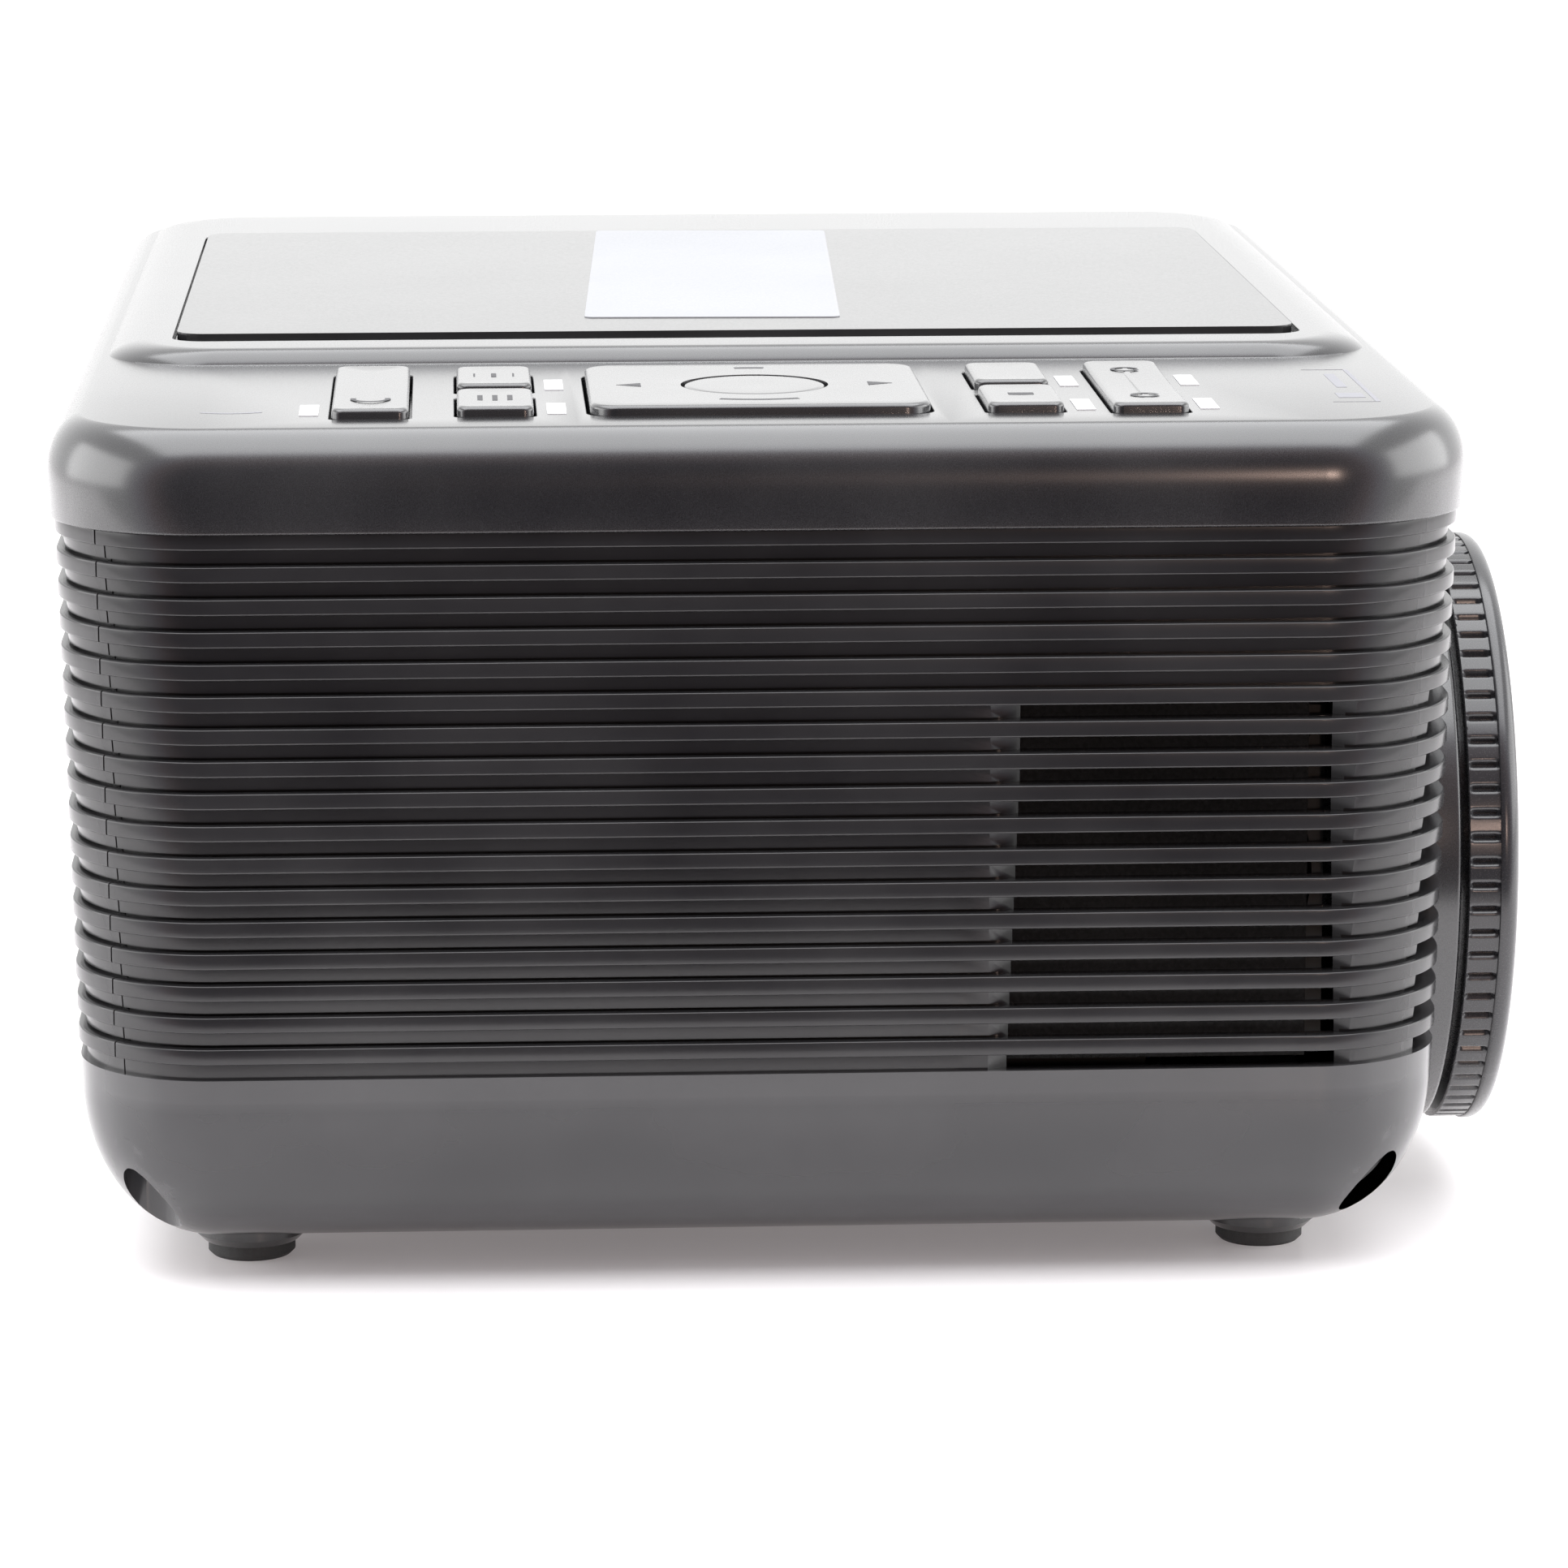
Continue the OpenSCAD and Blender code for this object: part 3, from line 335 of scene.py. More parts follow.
def make_materials():
    return {
        "case_black": textured("case_black", (0.012, 0.012, 0.014), (0.22, 0.3), 5000, 0.05, 0.01, coat=1.0),
        "bottom_black": textured("bottom_black", (0.014, 0.0135, 0.016), (0.18, 0.24), 5000, 0.08, 0.01, coat=0.4),
        "panel_black": textured("panel_black", (0.014, 0.0135, 0.015), (0.18, 0.26), 5000, 0.08, 0.01),
        "gloss_black": textured("gloss_black", (0.008, 0.008, 0.009), (0.14, 0.2), 2500, 0.03, coat=0.35),
        "label_white": textured("label_white", (0.3, 0.305, 0.32), (0.5, 0.65), 3000, 0.08),
        "print_white": textured("print_white", (0.75, 0.75, 0.77), (0.35, 0.5), 4000, 0.1),
        "print_dark": textured("print_dark", (0.02, 0.02, 0.024), (0.5, 0.6), 4000, 0.1),
        "print_grey": textured("print_grey", (0.2, 0.2, 0.22), (0.5, 0.6), 4000, 0.1),
        "screw_steel": textured("screw_steel", (0.1, 0.1, 0.11), (0.3, 0.45), 3000, 0.1, metallic=0.9),
        "ring_black": textured("ring_black", (0.02, 0.02, 0.023), (0.2, 0.3), 5000, 0.12, coat=0.4),
        "barrel_black": textured("barrel_black", (0.01, 0.01, 0.011), (0.45, 0.6)),
        "lens_glass": glass("lens_glass", (0.9, 0.95, 1.0), 0.02),
        "inner_plastic": textured("inner_plastic", (0.02, 0.02, 0.02), (0.45, 0.6)),
        "mirror": textured("mirror", (0.9, 0.9, 0.92), (0.02, 0.04), 500, 0.01, metallic=1.0, wear=0.0),
        "lcd_dark": textured("lcd_dark", (0.02, 0.03, 0.035), (0.1, 0.2), 3000, 0.02),
        "fresnel": glass("fresnel", (0.85, 0.9, 0.95), 0.2),
        "led_ceramic": textured("led_ceramic", (0.8, 0.7, 0.3), (0.4, 0.6), 2500),
        "heatsink_alu": textured("heatsink_alu", (0.6, 0.61, 0.63), (0.3, 0.45), 900, 0.1, metallic=1.0,
                                 stretch=(1, 1, 0.05)),
        "filter_foam": textured("filter_foam", (0.004, 0.004, 0.004), (0.8, 1.0), 1500, 1.0, 0.4, wear=0.0),
        "circuit_board": textured("circuit_board", (0.01, 0.1, 0.04), (0.3, 0.45), 2500),
        "power_board": textured("power_board", (0.3, 0.2, 0.08), (0.4, 0.55), 2500),
        "socket_metal": textured("socket_metal", (0.55, 0.55, 0.57), (0.2, 0.35), 1500, 0.08, metallic=1.0,
                                 stretch=(0.1, 1, 1)),
        "vga_blue": textured("vga_blue", (0.02, 0.04, 0.2), (0.35, 0.5), 4000),
        "ir_red": textured("ir_red", (0.03, 0.002, 0.004), (0.05, 0.1), 3000, 0.02, coat=1.0),
        "cone_paper": textured("cone_paper", (0.05, 0.05, 0.05), (0.7, 0.9), 2000, 0.6, 0.1),
        "key_gloss": textured("key_gloss", (0.014, 0.014, 0.016), (0.22, 0.3), 5000, 0.05, 0.01, coat=1.0),
        "foot_plastic": textured("foot_plastic", (0.014, 0.014, 0.015), (0.16, 0.26), 4000, 0.12, coat=0.3),
        "foot_rubber": textured("foot_rubber", (0.02, 0.02, 0.02), (0.55, 0.75), 4000, 0.3),
    }


def paint_cad_nodes(looks):
    for part in frame["record"]["subparts"]:
        obj = nodes[part["node"]]
        obj.data.materials.clear()
        obj.data.materials.append(looks[part["material_slot"]])


# ---- Case halves ----

# The top edge rounds inwards over TOP_ROUND_IN until it meets the control strip at TOP_ROUND_END degrees.
TOP_ROUND_IN, TOP_ROUND_H, TOP_ROUND_END = 6.5, 9.5, 75.5
TOP_ROUND_DROP = 9.25
STRIP_INSET = 5.15
BOTTOM_INSET, BOTTOM_ROUND_IN, BOTTOM_ROUND_H = 3.5, 18.5, 24
BOTTOM_ROUND_DROP = 3.8
SKIRT_OUT = 0.2
PLATE_RECESS = (-89, 89, -57, 93.5, 5)
RECESS_D = 1.4
ROUND_STEPS = 18

# The riser is part of an ellipse that starts at RISER_START degrees. Its outline draws in on the way up.
PLATFORM_X, PLATFORM_FRONT, PLATFORM_BACK, PLATFORM_CORNER = 99, -68.5, 134, 16
RISER_SIDE_IN, RISER_FRONT_IN, RISER_BACK_IN, RISER_CORNER_IN = 7, 3, 12, 4
RISER_START = 30
RISER_STEPS = 12

KEY_OPENING_CORNER = 1.4
PAD_GAP = 0.5
POST_R = 3.4
BOSS_WALL = 1.6
BOSS_Z, BOSS_H = 16, 20
FOOT_BOSS_R, FOOT_BOSS_Z, FOOT_BOSS_H = 5.5, 17.5, 21
FOOT_HOLE_R, FOOT_HOLE_Z, FOOT_HOLE_H = 3.05, 13, 24


def riser_rings():
    """Rings from the control strip up the rounded riser to the flat top of the platform."""
    start = math.radians(RISER_START)
    rings = []
    for s in range(RISER_STEPS + 1):
        a = start + (math.pi / 2 - start) * s / RISER_STEPS
        t = 1 - math.cos(a) / math.cos(start)
        z = STRIP_Z + PLATFORM_RISE * (math.sin(a) - math.sin(start)) / (1 - math.sin(start))
        x = PLATFORM_X - RISER_SIDE_IN * t
        rings.append(rounded_ring(-x, x, PLATFORM_FRONT + RISER_FRONT_IN * t, PLATFORM_BACK - RISER_BACK_IN * t,
                                  PLATFORM_CORNER - RISER_CORNER_IN * t, z))
    return rings


def top_cover_rings():
    """Rings from the inner edge of the wall, out over the band and up to the floor of the plate's recess."""
    rings = [case_ring(LOUVRE_INNER, KEY_UNDER), case_ring(LOUVRE_INNER, BAND_Z), case_ring(0.4, BAND_Z),
             case_ring(0.1, BAND_Z + 0.15), case_ring(0, BAND_Z + 0.45)]
    start = STRIP_Z - TOP_ROUND_DROP
    for s in range(ROUND_STEPS + 1):
        a = math.radians(TOP_ROUND_END * s / ROUND_STEPS)
        rings.append(case_ring(TOP_ROUND_IN * (1 - math.cos(a)), start + TOP_ROUND_H * math.sin(a)))
    rings.append(case_ring(STRIP_INSET, STRIP_Z))
    rings += riser_rings()
    rings.append(rounded_ring(*PLATE_RECESS, PLATFORM_Z))
    rings.append(rounded_ring(*PLATE_RECESS, PLATFORM_Z - RECESS_D))
    return rings


def key_openings():
    """Solids that leave the gap round every key."""
    w, z0, z1 = KEY_W + 2 * KEY_GAP, KEY_UNDER - 5, PLATFORM_Z + 5
    tall = [slab("hole", s * OUTER_KEY_X, KEYS_Y, w, TALL_KEY_L + 2 * KEY_GAP, KEY_OPENING_CORNER, z0, z1)
            for s in (-1, 1)]
    small = [slab("hole", x, KEYS_Y + y, w, SMALL_KEY_L + 2 * KEY_GAP, KEY_OPENING_CORNER, z0, z1)
             for x, y in corners_at(INNER_KEY_X, SMALL_KEY_Y)]
    pad = slab("hole", 0, KEYS_Y, PAD_W + 2 * PAD_GAP, PAD_L + 2 * PAD_GAP, PAD_CORNER, z0, z1)
    return join("holes", tall + small + [pad])


def make_top_cover(looks):
    shell = loft("upper_case", top_cover_rings())
    combine(shell, [key_openings()], "DIFFERENCE")
    posts = [rod("post", x, y, (KEY_UNDER + WELL_Z + 2) / 2, POST_R, KEY_UNDER - WELL_Z, steps=32)
             for x, y in corners_at(WELL_X, WELL_Y)]
    shell = join("upper_case", [shell] + posts)
    soften(smooth(shell, 25), 0.2, 2, 50)
    finish_piece(shell, "case", "case_black", looks["case_black"], "top_cover")


def bottom_levels(t):
    """(inset, z) points down the rounded lower edge, t inside the outer face."""
    levels = []
    for s in range(ROUND_STEPS + 1):
        a = math.radians(90 * s / ROUND_STEPS)
        levels.append((BOTTOM_INSET + t + (BOTTOM_ROUND_IN - t) * (1 - math.cos(a)),
                       LOUVRE_Z - BOTTOM_ROUND_DROP - (BOTTOM_ROUND_H - t) * math.sin(a)))
    return levels


def make_bottom_cover(looks):
    outer = [case_ring(*level) for level in [(BOTTOM_INSET - SKIRT_OUT, LOUVRE_Z)] + bottom_levels(0)]
    inner = [case_ring(*level) for level in reversed(bottom_levels(WALL))]
    shell = loft("lower_case", inner + [case_ring(BOTTOM_INSET + WALL - SKIRT_OUT, LOUVRE_Z)] + outer)
    wells, feet = corners_at(WELL_X, WELL_Y), corners_at(FOOT_X, FOOT_Y)
    bosses = join("bosses", [rod("boss", x, y, BOSS_Z, WELL_R + BOSS_WALL, BOSS_H, steps=48) for x, y in wells])
    combine(bosses, [loft("tub", outer)], "INTERSECT")
    foot_bosses = join("foot_bosses", [rod("boss", x, y, FOOT_BOSS_Z, FOOT_BOSS_R, FOOT_BOSS_H, steps=48)
                                       for x, y in feet])
    combine(shell, [bosses, foot_bosses], "UNION")
    holes = [rod("hole", x, y, WELL_Z / 2, WELL_R, WELL_Z, steps=48) for x, y in wells]
    holes += [rod("hole", x, y, FOOT_HOLE_Z, FOOT_HOLE_R, FOOT_HOLE_H, steps=48) for x, y in feet]
    holes.append(lens_opening())
    combine(shell, [join("holes", holes)], "DIFFERENCE")
    soften(smooth(shell, 25), 0.25, 2, 45)
    finish_piece(shell, "case", "case_black", looks["bottom_black"], "bottom_cover")


# ---- Louvred walls ----

# Every wall is drawn facing -Y and then turned to its own side of the case.
SIDE_FRAMES = {
    "right": lambda x, y: (x, y),
    "left": lambda x, y: (x, -y),
    "front": lambda x, y: (-y, x),
    "rear": lambda x, y: (y, x),
}
SLOT_FIRST, SLOT_RUN, SLOT_RAMP = 5, 4.6, 2.8
RIGHT_SLOTS = [(32.8, 88)]
LEFT_SLOTS = [(-47, -1), (1, 47)]
FRONT_SLOTS = [(-134.5, -112.5), (43, 97)]
RIB_ROUND = 0.3
RIB_ROOT = 0.5
GROOVE_LEAN = 0.1
CREVICE, CREVICE_D = 0.42, 1.3
HALF_CORNER_STEPS = 14
STRAIGHT_STEPS = 24


def rib_top(k):
    return BAND_Z - k * RIB_PITCH


def stations(half_l, half_w, gaps):
    """Places along a wall that faces -Y: two half corners, each stopping a gap short, and the straight between."""
    cx, cy, r = half_l - CORNER_R, half_w - CORNER_R, CORNER_R - 2
    first, last = [math.degrees(math.asin(gap / r)) for gap in gaps]
    places = []
    for s in range(HALF_CORNER_STEPS + 1):
        a = 225 + first + (45 - first) * s / HALF_CORNER_STEPS
        places.append((-cx, -cy, math.radians(a)))
    for s in range(1, STRAIGHT_STEPS):
        places.append((-cx + 2 * cx * s / STRAIGHT_STEPS, -cy, math.radians(270)))
    for s in range(HALF_CORNER_STEPS + 1):
        a = 270 + (45 - last) * s / HALF_CORNER_STEPS
        places.append((cx, -cy, math.radians(a)))
    return places


def sweep(bm, places, section, side):
    """Closed solid that follows the wall with a section of (inset, z) points."""
    to_case = SIDE_FRAMES[side]
    rings = []
    for px, py, a in places:
        ring = []
        for inset, z in section:
            r = CORNER_R - inset
            ring.append(place(*to_case(px + r * math.cos(a), py + r * math.sin(a)), z))
        rings.append(ring)
    add_loft(bm, rings)


def rib_section(k):
    """Outline of one rib with rounded outer edges, as (inset, z) points."""
    inset, top = RIB_STEP + k * RIB_TAPER, rib_top(k)
    bottom, back, q = top - RIB_H, inset + GROOVE_D + RIB_ROOT, RIB_ROUND
    section = [(back, top)]
    for s in range(5):
        a = math.radians(90 * s / 4)
        section.append((inset + q - q * math.sin(a), top - q + q * math.cos(a)))
    for s in range(5):
        a = math.radians(90 * s / 4)
        section.append((inset + q - q * math.cos(a), bottom + q - q * math.sin(a)))
    section.append((back, bottom))
    return section


def wall_section():
    """Outline of the wall behind the ribs: each groove leans in and ends in a narrow crevice."""
    section = [(LOUVRE_INNER, LOUVRE_Z), (LOUVRE_INNER, BAND_Z)]
    for k in range(RIBS):
        inset, top, foot = RIB_STEP + k * RIB_TAPER, rib_top(k) - RIB_H, rib_top(k + 1)
        section += [(inset + GROOVE_D, rib_top(k) - 0.02), (inset + GROOVE_D - GROOVE_LEAN, top)]
        if k < RIBS - 1:
            section += [(inset + GROOVE_D + GROOVE_LEAN, foot + CREVICE),
                        (inset + GROOVE_D + CREVICE_D, foot + CREVICE - 0.08), (inset + GROOVE_D + CREVICE_D, foot)]
        else:
            section.append((inset + GROOVE_D, foot))
    return section


def slot_cutters(slots, half_w, side):
    """Air slots between the lower ribs, with ends that slope towards the open stretch."""
    to_case = SIDE_FRAMES[side]
    bm = bmesh.new()
    for k in range(SLOT_FIRST, RIBS):
        y = RIB_STEP + k * RIB_TAPER + GROOVE_D - half_w
        for start, end in slots:
            plan = [(start, y - 1), (end, y - 1), (end, y), (end - SLOT_RUN, y + SLOT_RAMP),
                    (end - SLOT_RUN, y + 8), (start + SLOT_RUN, y + 8), (start + SLOT_RUN, y + SLOT_RAMP), (start, y)]
            add_loft(bm, [[place(*to_case(px, py), z) for px, py in plan]
                          for z in (rib_top(k + 1) + 0.01, rib_top(k) - RIB_H - 0.01)])
    return new_object("slots", bm)


def make_louvres(side, node, slots, looks, half_l, half_w, rib_gaps, wall_gaps, openings=()):
    """One wall panel: swept ribs, the grooved wall behind them, slots and openings."""
    bm = bmesh.new()
    for k in range(RIBS):
        sweep(bm, stations(half_l, half_w, rib_gaps), rib_section(k), side)
    ribs = new_object("ribs", bm)
    bm = bmesh.new()
    sweep(bm, stations(half_l, half_w, wall_gaps), wall_section(), side)
    wall = new_object("wall", bm)
    if slots:
        combine(wall, [slot_cutters(slots, half_w, side)], "DIFFERENCE")
    for opening in openings:
        combine(ribs, [opening()], "DIFFERENCE")
        combine(wall, [opening()], "DIFFERENCE")
    extra = [socket_bay()] if side == "rear" else []
    panel = smooth(join("louvres_" + side, [ribs, wall] + extra), 32)
    finish_piece(panel, "case", "panel_black", looks["panel_black"], node)


# Flat bay with the sockets, as y and z limits, and its openings as (y, z, width, height).
BAY = (-92, 96, 49, 92)
BAY_IN = 4.6
SOCKET_HOLES = [(70, 60, 15.6, 6.2), (48, 60, 15.6, 6.2), (25, 56, 14, 6.8), (25, 68, 14, 6.8), (62, 79, 31, 12.6),
                (-70, 70, 27.6, 20.1)]
JACKS = [(5, 58), (5, 71)]
JACK_R = 4


def bay_opening():
    y0, y1, z0, z1 = BAY
    return block("bay", -HALF_L - 1, -HALF_L + LOUVRE_INNER + 1, y0, y1, z0, z1)


def socket_bay():
    y0, y1, z0, z1 = BAY
    plate = block("bay", -HALF_L + BAY_IN, -HALF_L + LOUVRE_INNER, y0, y1, z0, z1)
    x0, x1 = -HALF_L, -HALF_L + 12
    holes = [block("hole", x0, x1, y - w / 2, y + w / 2, z - h / 2, z + h / 2) for y, z, w, h in SOCKET_HOLES]
    holes += [rod("hole", -HALF_L + 6, y, z, JACK_R, 12, "X", 32) for y, z in JACKS]
    return combine(plate, holes, "DIFFERENCE")


def lens_opening():
    return rod("hole", HALF_L - 4, LENS_Y, LENS_Z, LENS_OPENING_R, 40, "X")


def ir_opening():
    return rod("hole", HALF_L, IR_Y, IR_Z, IR_OPENING_R, 20, "X", 48)


def make_walls(looks):
    rib_side, wall_side = SEAM_GAP / 2, SEAM_GAP / 2 + SEAM_STEP
    rib_end, wall_end = SEAM_GAP / 2, SEAM_GAP / 2 - SEAM_STEP
    sides, ends, closed = (HALF_L, HALF_W), (HALF_W, HALF_L), (CLOSED_SEAM, CLOSED_SEAM)
    side_gaps = (rib_side, CLOSED_SEAM), (wall_side, CLOSED_SEAM)
    make_louvres("right", "side_panel_right", RIGHT_SLOTS, looks, *sides, *side_gaps)
    make_louvres("left", "side_panel_left", LEFT_SLOTS, looks, *sides, *side_gaps)
    make_louvres("front", "front_panel", FRONT_SLOTS, looks, *ends, closed, closed, (lens_opening, ir_opening))
    make_louvres("rear", "rear_panel", [], looks, *ends, (rib_end, rib_end), (wall_end, wall_end), (bay_opening,))


# ---- Lens group ----

GRIP_GROOVES = 78
STEPS_PER_GRIP = 14
GRIP_D, CROWN_D, BAND_IN = 0.8, 0.3, 0.3
GROOVE_SHARE = 0.2
GRIP_FADE = 0.6
RING_R, RING_START, RING_END = 46.5, 108.1, 116.0
RING_ROUND = 2.2
GRIP_END = RING_END - 3.2
LIP_D = 1.6
BARREL_R = 38.25
BORE_R = BARREL_R + 3.3
JOURNAL_R = BARREL_R + 3.25
BARREL_FIT = 0.05
COLLAR_R, COLLAR_START, COLLAR_END = RING_R - 0.5, 90, 107.1
TUBE_START, TUBE_WALL = 64, 1.5
BARREL_START, BARREL_END = 72, 112.6
BAFFLE_R, BAFFLE_START = 31, 104.5
BAFFLE_STEPS = 7


def grip_radius(turn, x):
    """Radius of the grip band: broad pads with narrow rounded grooves that fade out at both ends."""
    phase = (turn * GRIP_GROOVES) % 1
    away = min(phase, 1 - phase) / GROOVE_SHARE
    depth = 0.5 * (1 + math.cos(math.pi * min(away, 1)))
    near_end = min(1, max(0, (x - RING_START - 0.2) / GRIP_FADE))
    far_end = min(1, max(0, (GRIP_END + 0.2 - x) / GRIP_FADE))
    crown = 0.25 * (2 * abs(phase - 0.5)) ** 4
    return RING_R - BAND_IN - (GRIP_D * depth + CROWN_D * crown) * (near_end * far_end)


def ring_profile(turn):
    """Outline of the focus ring as (radius, x) points: grip band, rounded flange and bore."""
    start = [(RING_R - 0.8, RING_START), (RING_R - 0.45, RING_START + 0.1)]
    xs = [RING_START + 0.25, RING_START + 0.5, RING_START + 0.8, RING_START + 1.2, RING_START + 2.2,
          RING_START + 3.2, GRIP_END - 0.8, GRIP_END - 0.4, GRIP_END - 0.1, GRIP_END + 0.2]
    band = [(grip_radius(turn, x), x) for x in xs]
    flange = [(RING_R - 0.12, GRIP_END + 0.22), (RING_R, GRIP_END + 0.4)]
    flange += [(RING_R - RING_ROUND + RING_ROUND * math.cos(a), RING_END - RING_ROUND + RING_ROUND * math.sin(a))
               for a in [math.radians(7.5 * s) for s in range(13)]]
    inner = [(BARREL_R + 1.5, RING_END), (BARREL_R + 1.2, RING_END - 0.3), (BARREL_R + 1.2, RING_END - LIP_D),
             (BORE_R, RING_END - LIP_D), (BORE_R, RING_START)]
    return start + band + flange + inner


def make_focus_ring(looks):
    ring = smooth(lathe("grip_ring", ring_profile, GRIP_GROOVES * STEPS_PER_GRIP), 45)
    finish_piece(ring, "focus_ring", "ring_black", looks["ring_black"], "focus_ring")


def collar_profile(turn):
    """Outline of the fixed collar: guide tube, smooth drum with a rounded edge, and the ring's journal."""
    r, x, tube_r = COLLAR_R, COLLAR_END, JOURNAL_R - TUBE_WALL
    return [(BARREL_R + BARREL_FIT, TUBE_START), (tube_r, TUBE_START), (tube_r, COLLAR_START), (r, COLLAR_START),
            (r, x - 0.7), (r - 0.1, x - 0.35), (r - 0.35, x - 0.1), (r - 0.7, x), (JOURNAL_R, x),
            (JOURNAL_R, RING_END - 2), (BARREL_R + BARREL_FIT, RING_END - 2)]


def barrel_profile(turn):
    """Outline of the lens barrel: a tube whose inside opens to the front in small anti-glare steps."""
    outline = [(36.9, BARREL_END), (37.3, BARREL_END), (BARREL_R - 0.2, BARREL_END), (BARREL_R, BARREL_END - 0.2),
               (BARREL_R, BARREL_START), (24, BARREL_START), (24, 74), (28, 74), (28, 84), (33.5, 90), (33.5, 103),
               (BAFFLE_R, BAFFLE_START)]
    for s in range(1, BAFFLE_STEPS):
        t = s / BAFFLE_STEPS
        r, x = BAFFLE_R + 5.9 * t, BAFFLE_START + 8.1 * t
        outline += [(r - 0.25, x - 0.25), (r + 0.1, x - 0.15), (r + 0.1, x + 0.1)]
    return outline


def make_lens_parts(looks):
    collar = smooth(lathe("collar", collar_profile))
    finish_piece(collar, "case", "case_black", looks["case_black"], "lens_collar")
    barrel = smooth(lathe("barrel", barrel_profile))
    finish_piece(barrel, "barrel", "barrel_black", looks["barrel_black"], "lens_barrel")


# ---- Keys ----

KEY_CORNER = 1.5
CAP_ROUND = 0.7
CAP_ROUND_STEPS, DISH_STEPS = 5, 9
FLANGE_W, FLANGE_L, FLANGE_UNDER = 1.6, 1.2, 2

# How far the hidden flange of a key lies below the cover: one that tilts needs more room.
PRESS_DROP, TILT_DROP = 0.4, 1.5
OK_STEPS = 96
OK_STEM_R = 2.5
PRINT_H = 0.04
PRINT_SINK = 0.02


def dipped(p, cy, half, dip):
    """A point of a key's top, lowered most at the middle of its length; others stay."""
    if p.z / MM <= KEY_TOP - CAP_ROUND:
        return p
    return Vector((p.x, p.y, p.z - dip * MM * (1 - min(1, abs(p.y / MM - cy) / half) ** 2)))


def key_cap(name, cx, cy, w, l, r, dish, dip=0.0, drop=PRESS_DROP):
    """Key with a hidden flange, a rounded top edge and a shallow hollow; dip lowers the middle along Y."""
    flange = KEY_UNDER - drop
    rings = [centred_ring(cx, cy, w + FLANGE_W, l + FLANGE_L, r, KEY_UNDER - FLANGE_UNDER),
             centred_ring(cx, cy, w + FLANGE_W, l + FLANGE_L, r, flange), centred_ring(cx, cy, w, l, r, flange)]
    q = CAP_ROUND
    for s in range(CAP_ROUND_STEPS + 1):
        a = math.radians(90 * s / CAP_ROUND_STEPS)
        rings.append(centred_ring(cx, cy, w - 2 * q * (1 - math.cos(a)), l - 2 * q * (1 - math.cos(a)), r,
                                  KEY_TOP - q + q * math.sin(a)))
    w0, l0 = w - 2 * q, l - 2 * q
    for s in range(1, DISH_STEPS):
        t = s / DISH_STEPS
        size = (w0 * (1 - t), l0 - w0 * t)
        rings.append(centred_ring(cx, cy, *size, max(r * (1 - t), 0.05), KEY_TOP - dish * t * (2 - t)))
    if dip:
        rings = [[dipped(p, cy, l / 2, dip) for p in ring] for ring in rings]
    return loft(name, rings)


def mark(name, points, width, z, closed=False):
    """Thin printed line through (x, y) points, a ribbon of even width."""
    bm = bmesh.new()
    count = len(points)
    left, right = [], []
    for i, (x, y) in enumerate(points):
        before = points[i - 1] if i or closed else points[i]
        after = points[(i + 1) % count] if i < count - 1 or closed else points[i]
        d = Vector((after[0] - before[0], after[1] - before[1])).normalized() * width / 2
        left.append((x - d.y, y + d.x))
        right.append((x + d.y, y - d.x))
    low = [bm.verts.new(place(x, y, z)) for x, y in left + right[::-1]]
    high = [bm.verts.new(place(x, y, z + PRINT_H)) for x, y in left + right[::-1]]
    n = len(low)
    for i in range(n):
        j = (i + 1) % n
        bm.faces.new((low[i], low[j], high[j], high[i]))
    for row in (low, high):
        for i in range(count - 1):
            bm.faces.new((row[i], row[i + 1], row[n - 2 - i], row[n - 1 - i]))
    return new_object(name, bm)


def arc(cx, cy, r, start, end, steps=14):
    angles = [math.radians(start + (end - start) * s / steps) for s in range(steps + 1)]
    return [(cx + r * math.cos(a), cy + r * math.sin(a)) for a in angles]


def arrow(name, cx, cy, dx, dy, size, z):
    """Small solid triangle that points along (dx, dy)."""
    tip = (cx + dx * size, cy + dy * size)
    base = (cx - dx * size * 0.6, cy - dy * size * 0.6)
    corners = [tip, (base[0] - dy * size * 0.8, base[1] + dx * size * 0.8),
               (base[0] + dy * size * 0.8, base[1] - dx * size * 0.8)]
    bm = bmesh.new()
    add_loft(bm, [[place(x, y, h) for x, y in corners] for h in (z, z + PRINT_H)])
    return new_object(name, bm)


def print_marks(name, parts, body, looks, slot="key_gloss", ink="print_dark"):
    finish_piece(join(name, parts), body, slot, looks[ink])


def make_ok_key():
    """Round key on a stem, with a rounded rim and a slightly hollow top."""
    rim = KEY_UNDER - 0.6
    profile = [(OK_STEM_R, KEY_UNDER - 3), (OK_STEM_R, rim), (OK_R, rim), (OK_R, KEY_TOP - 0.8),
               (OK_R - 0.08, KEY_TOP - 0.5), (OK_R - 0.3, KEY_TOP - 0.25), (OK_R - 0.7, KEY_TOP - 0.12),
               (OK_R - 1.2, KEY_TOP - 0.1), (OK_R - 7, KEY_TOP - 0.16), (1.5, KEY_TOP - 0.18)]
    end = 360 - 360 / OK_STEPS
    return loft("cap_ok", [[place(x, y, z) for x, y in arc(0, KEYS_Y, r, 0, end, OK_STEPS - 1)] for r, z in profile])


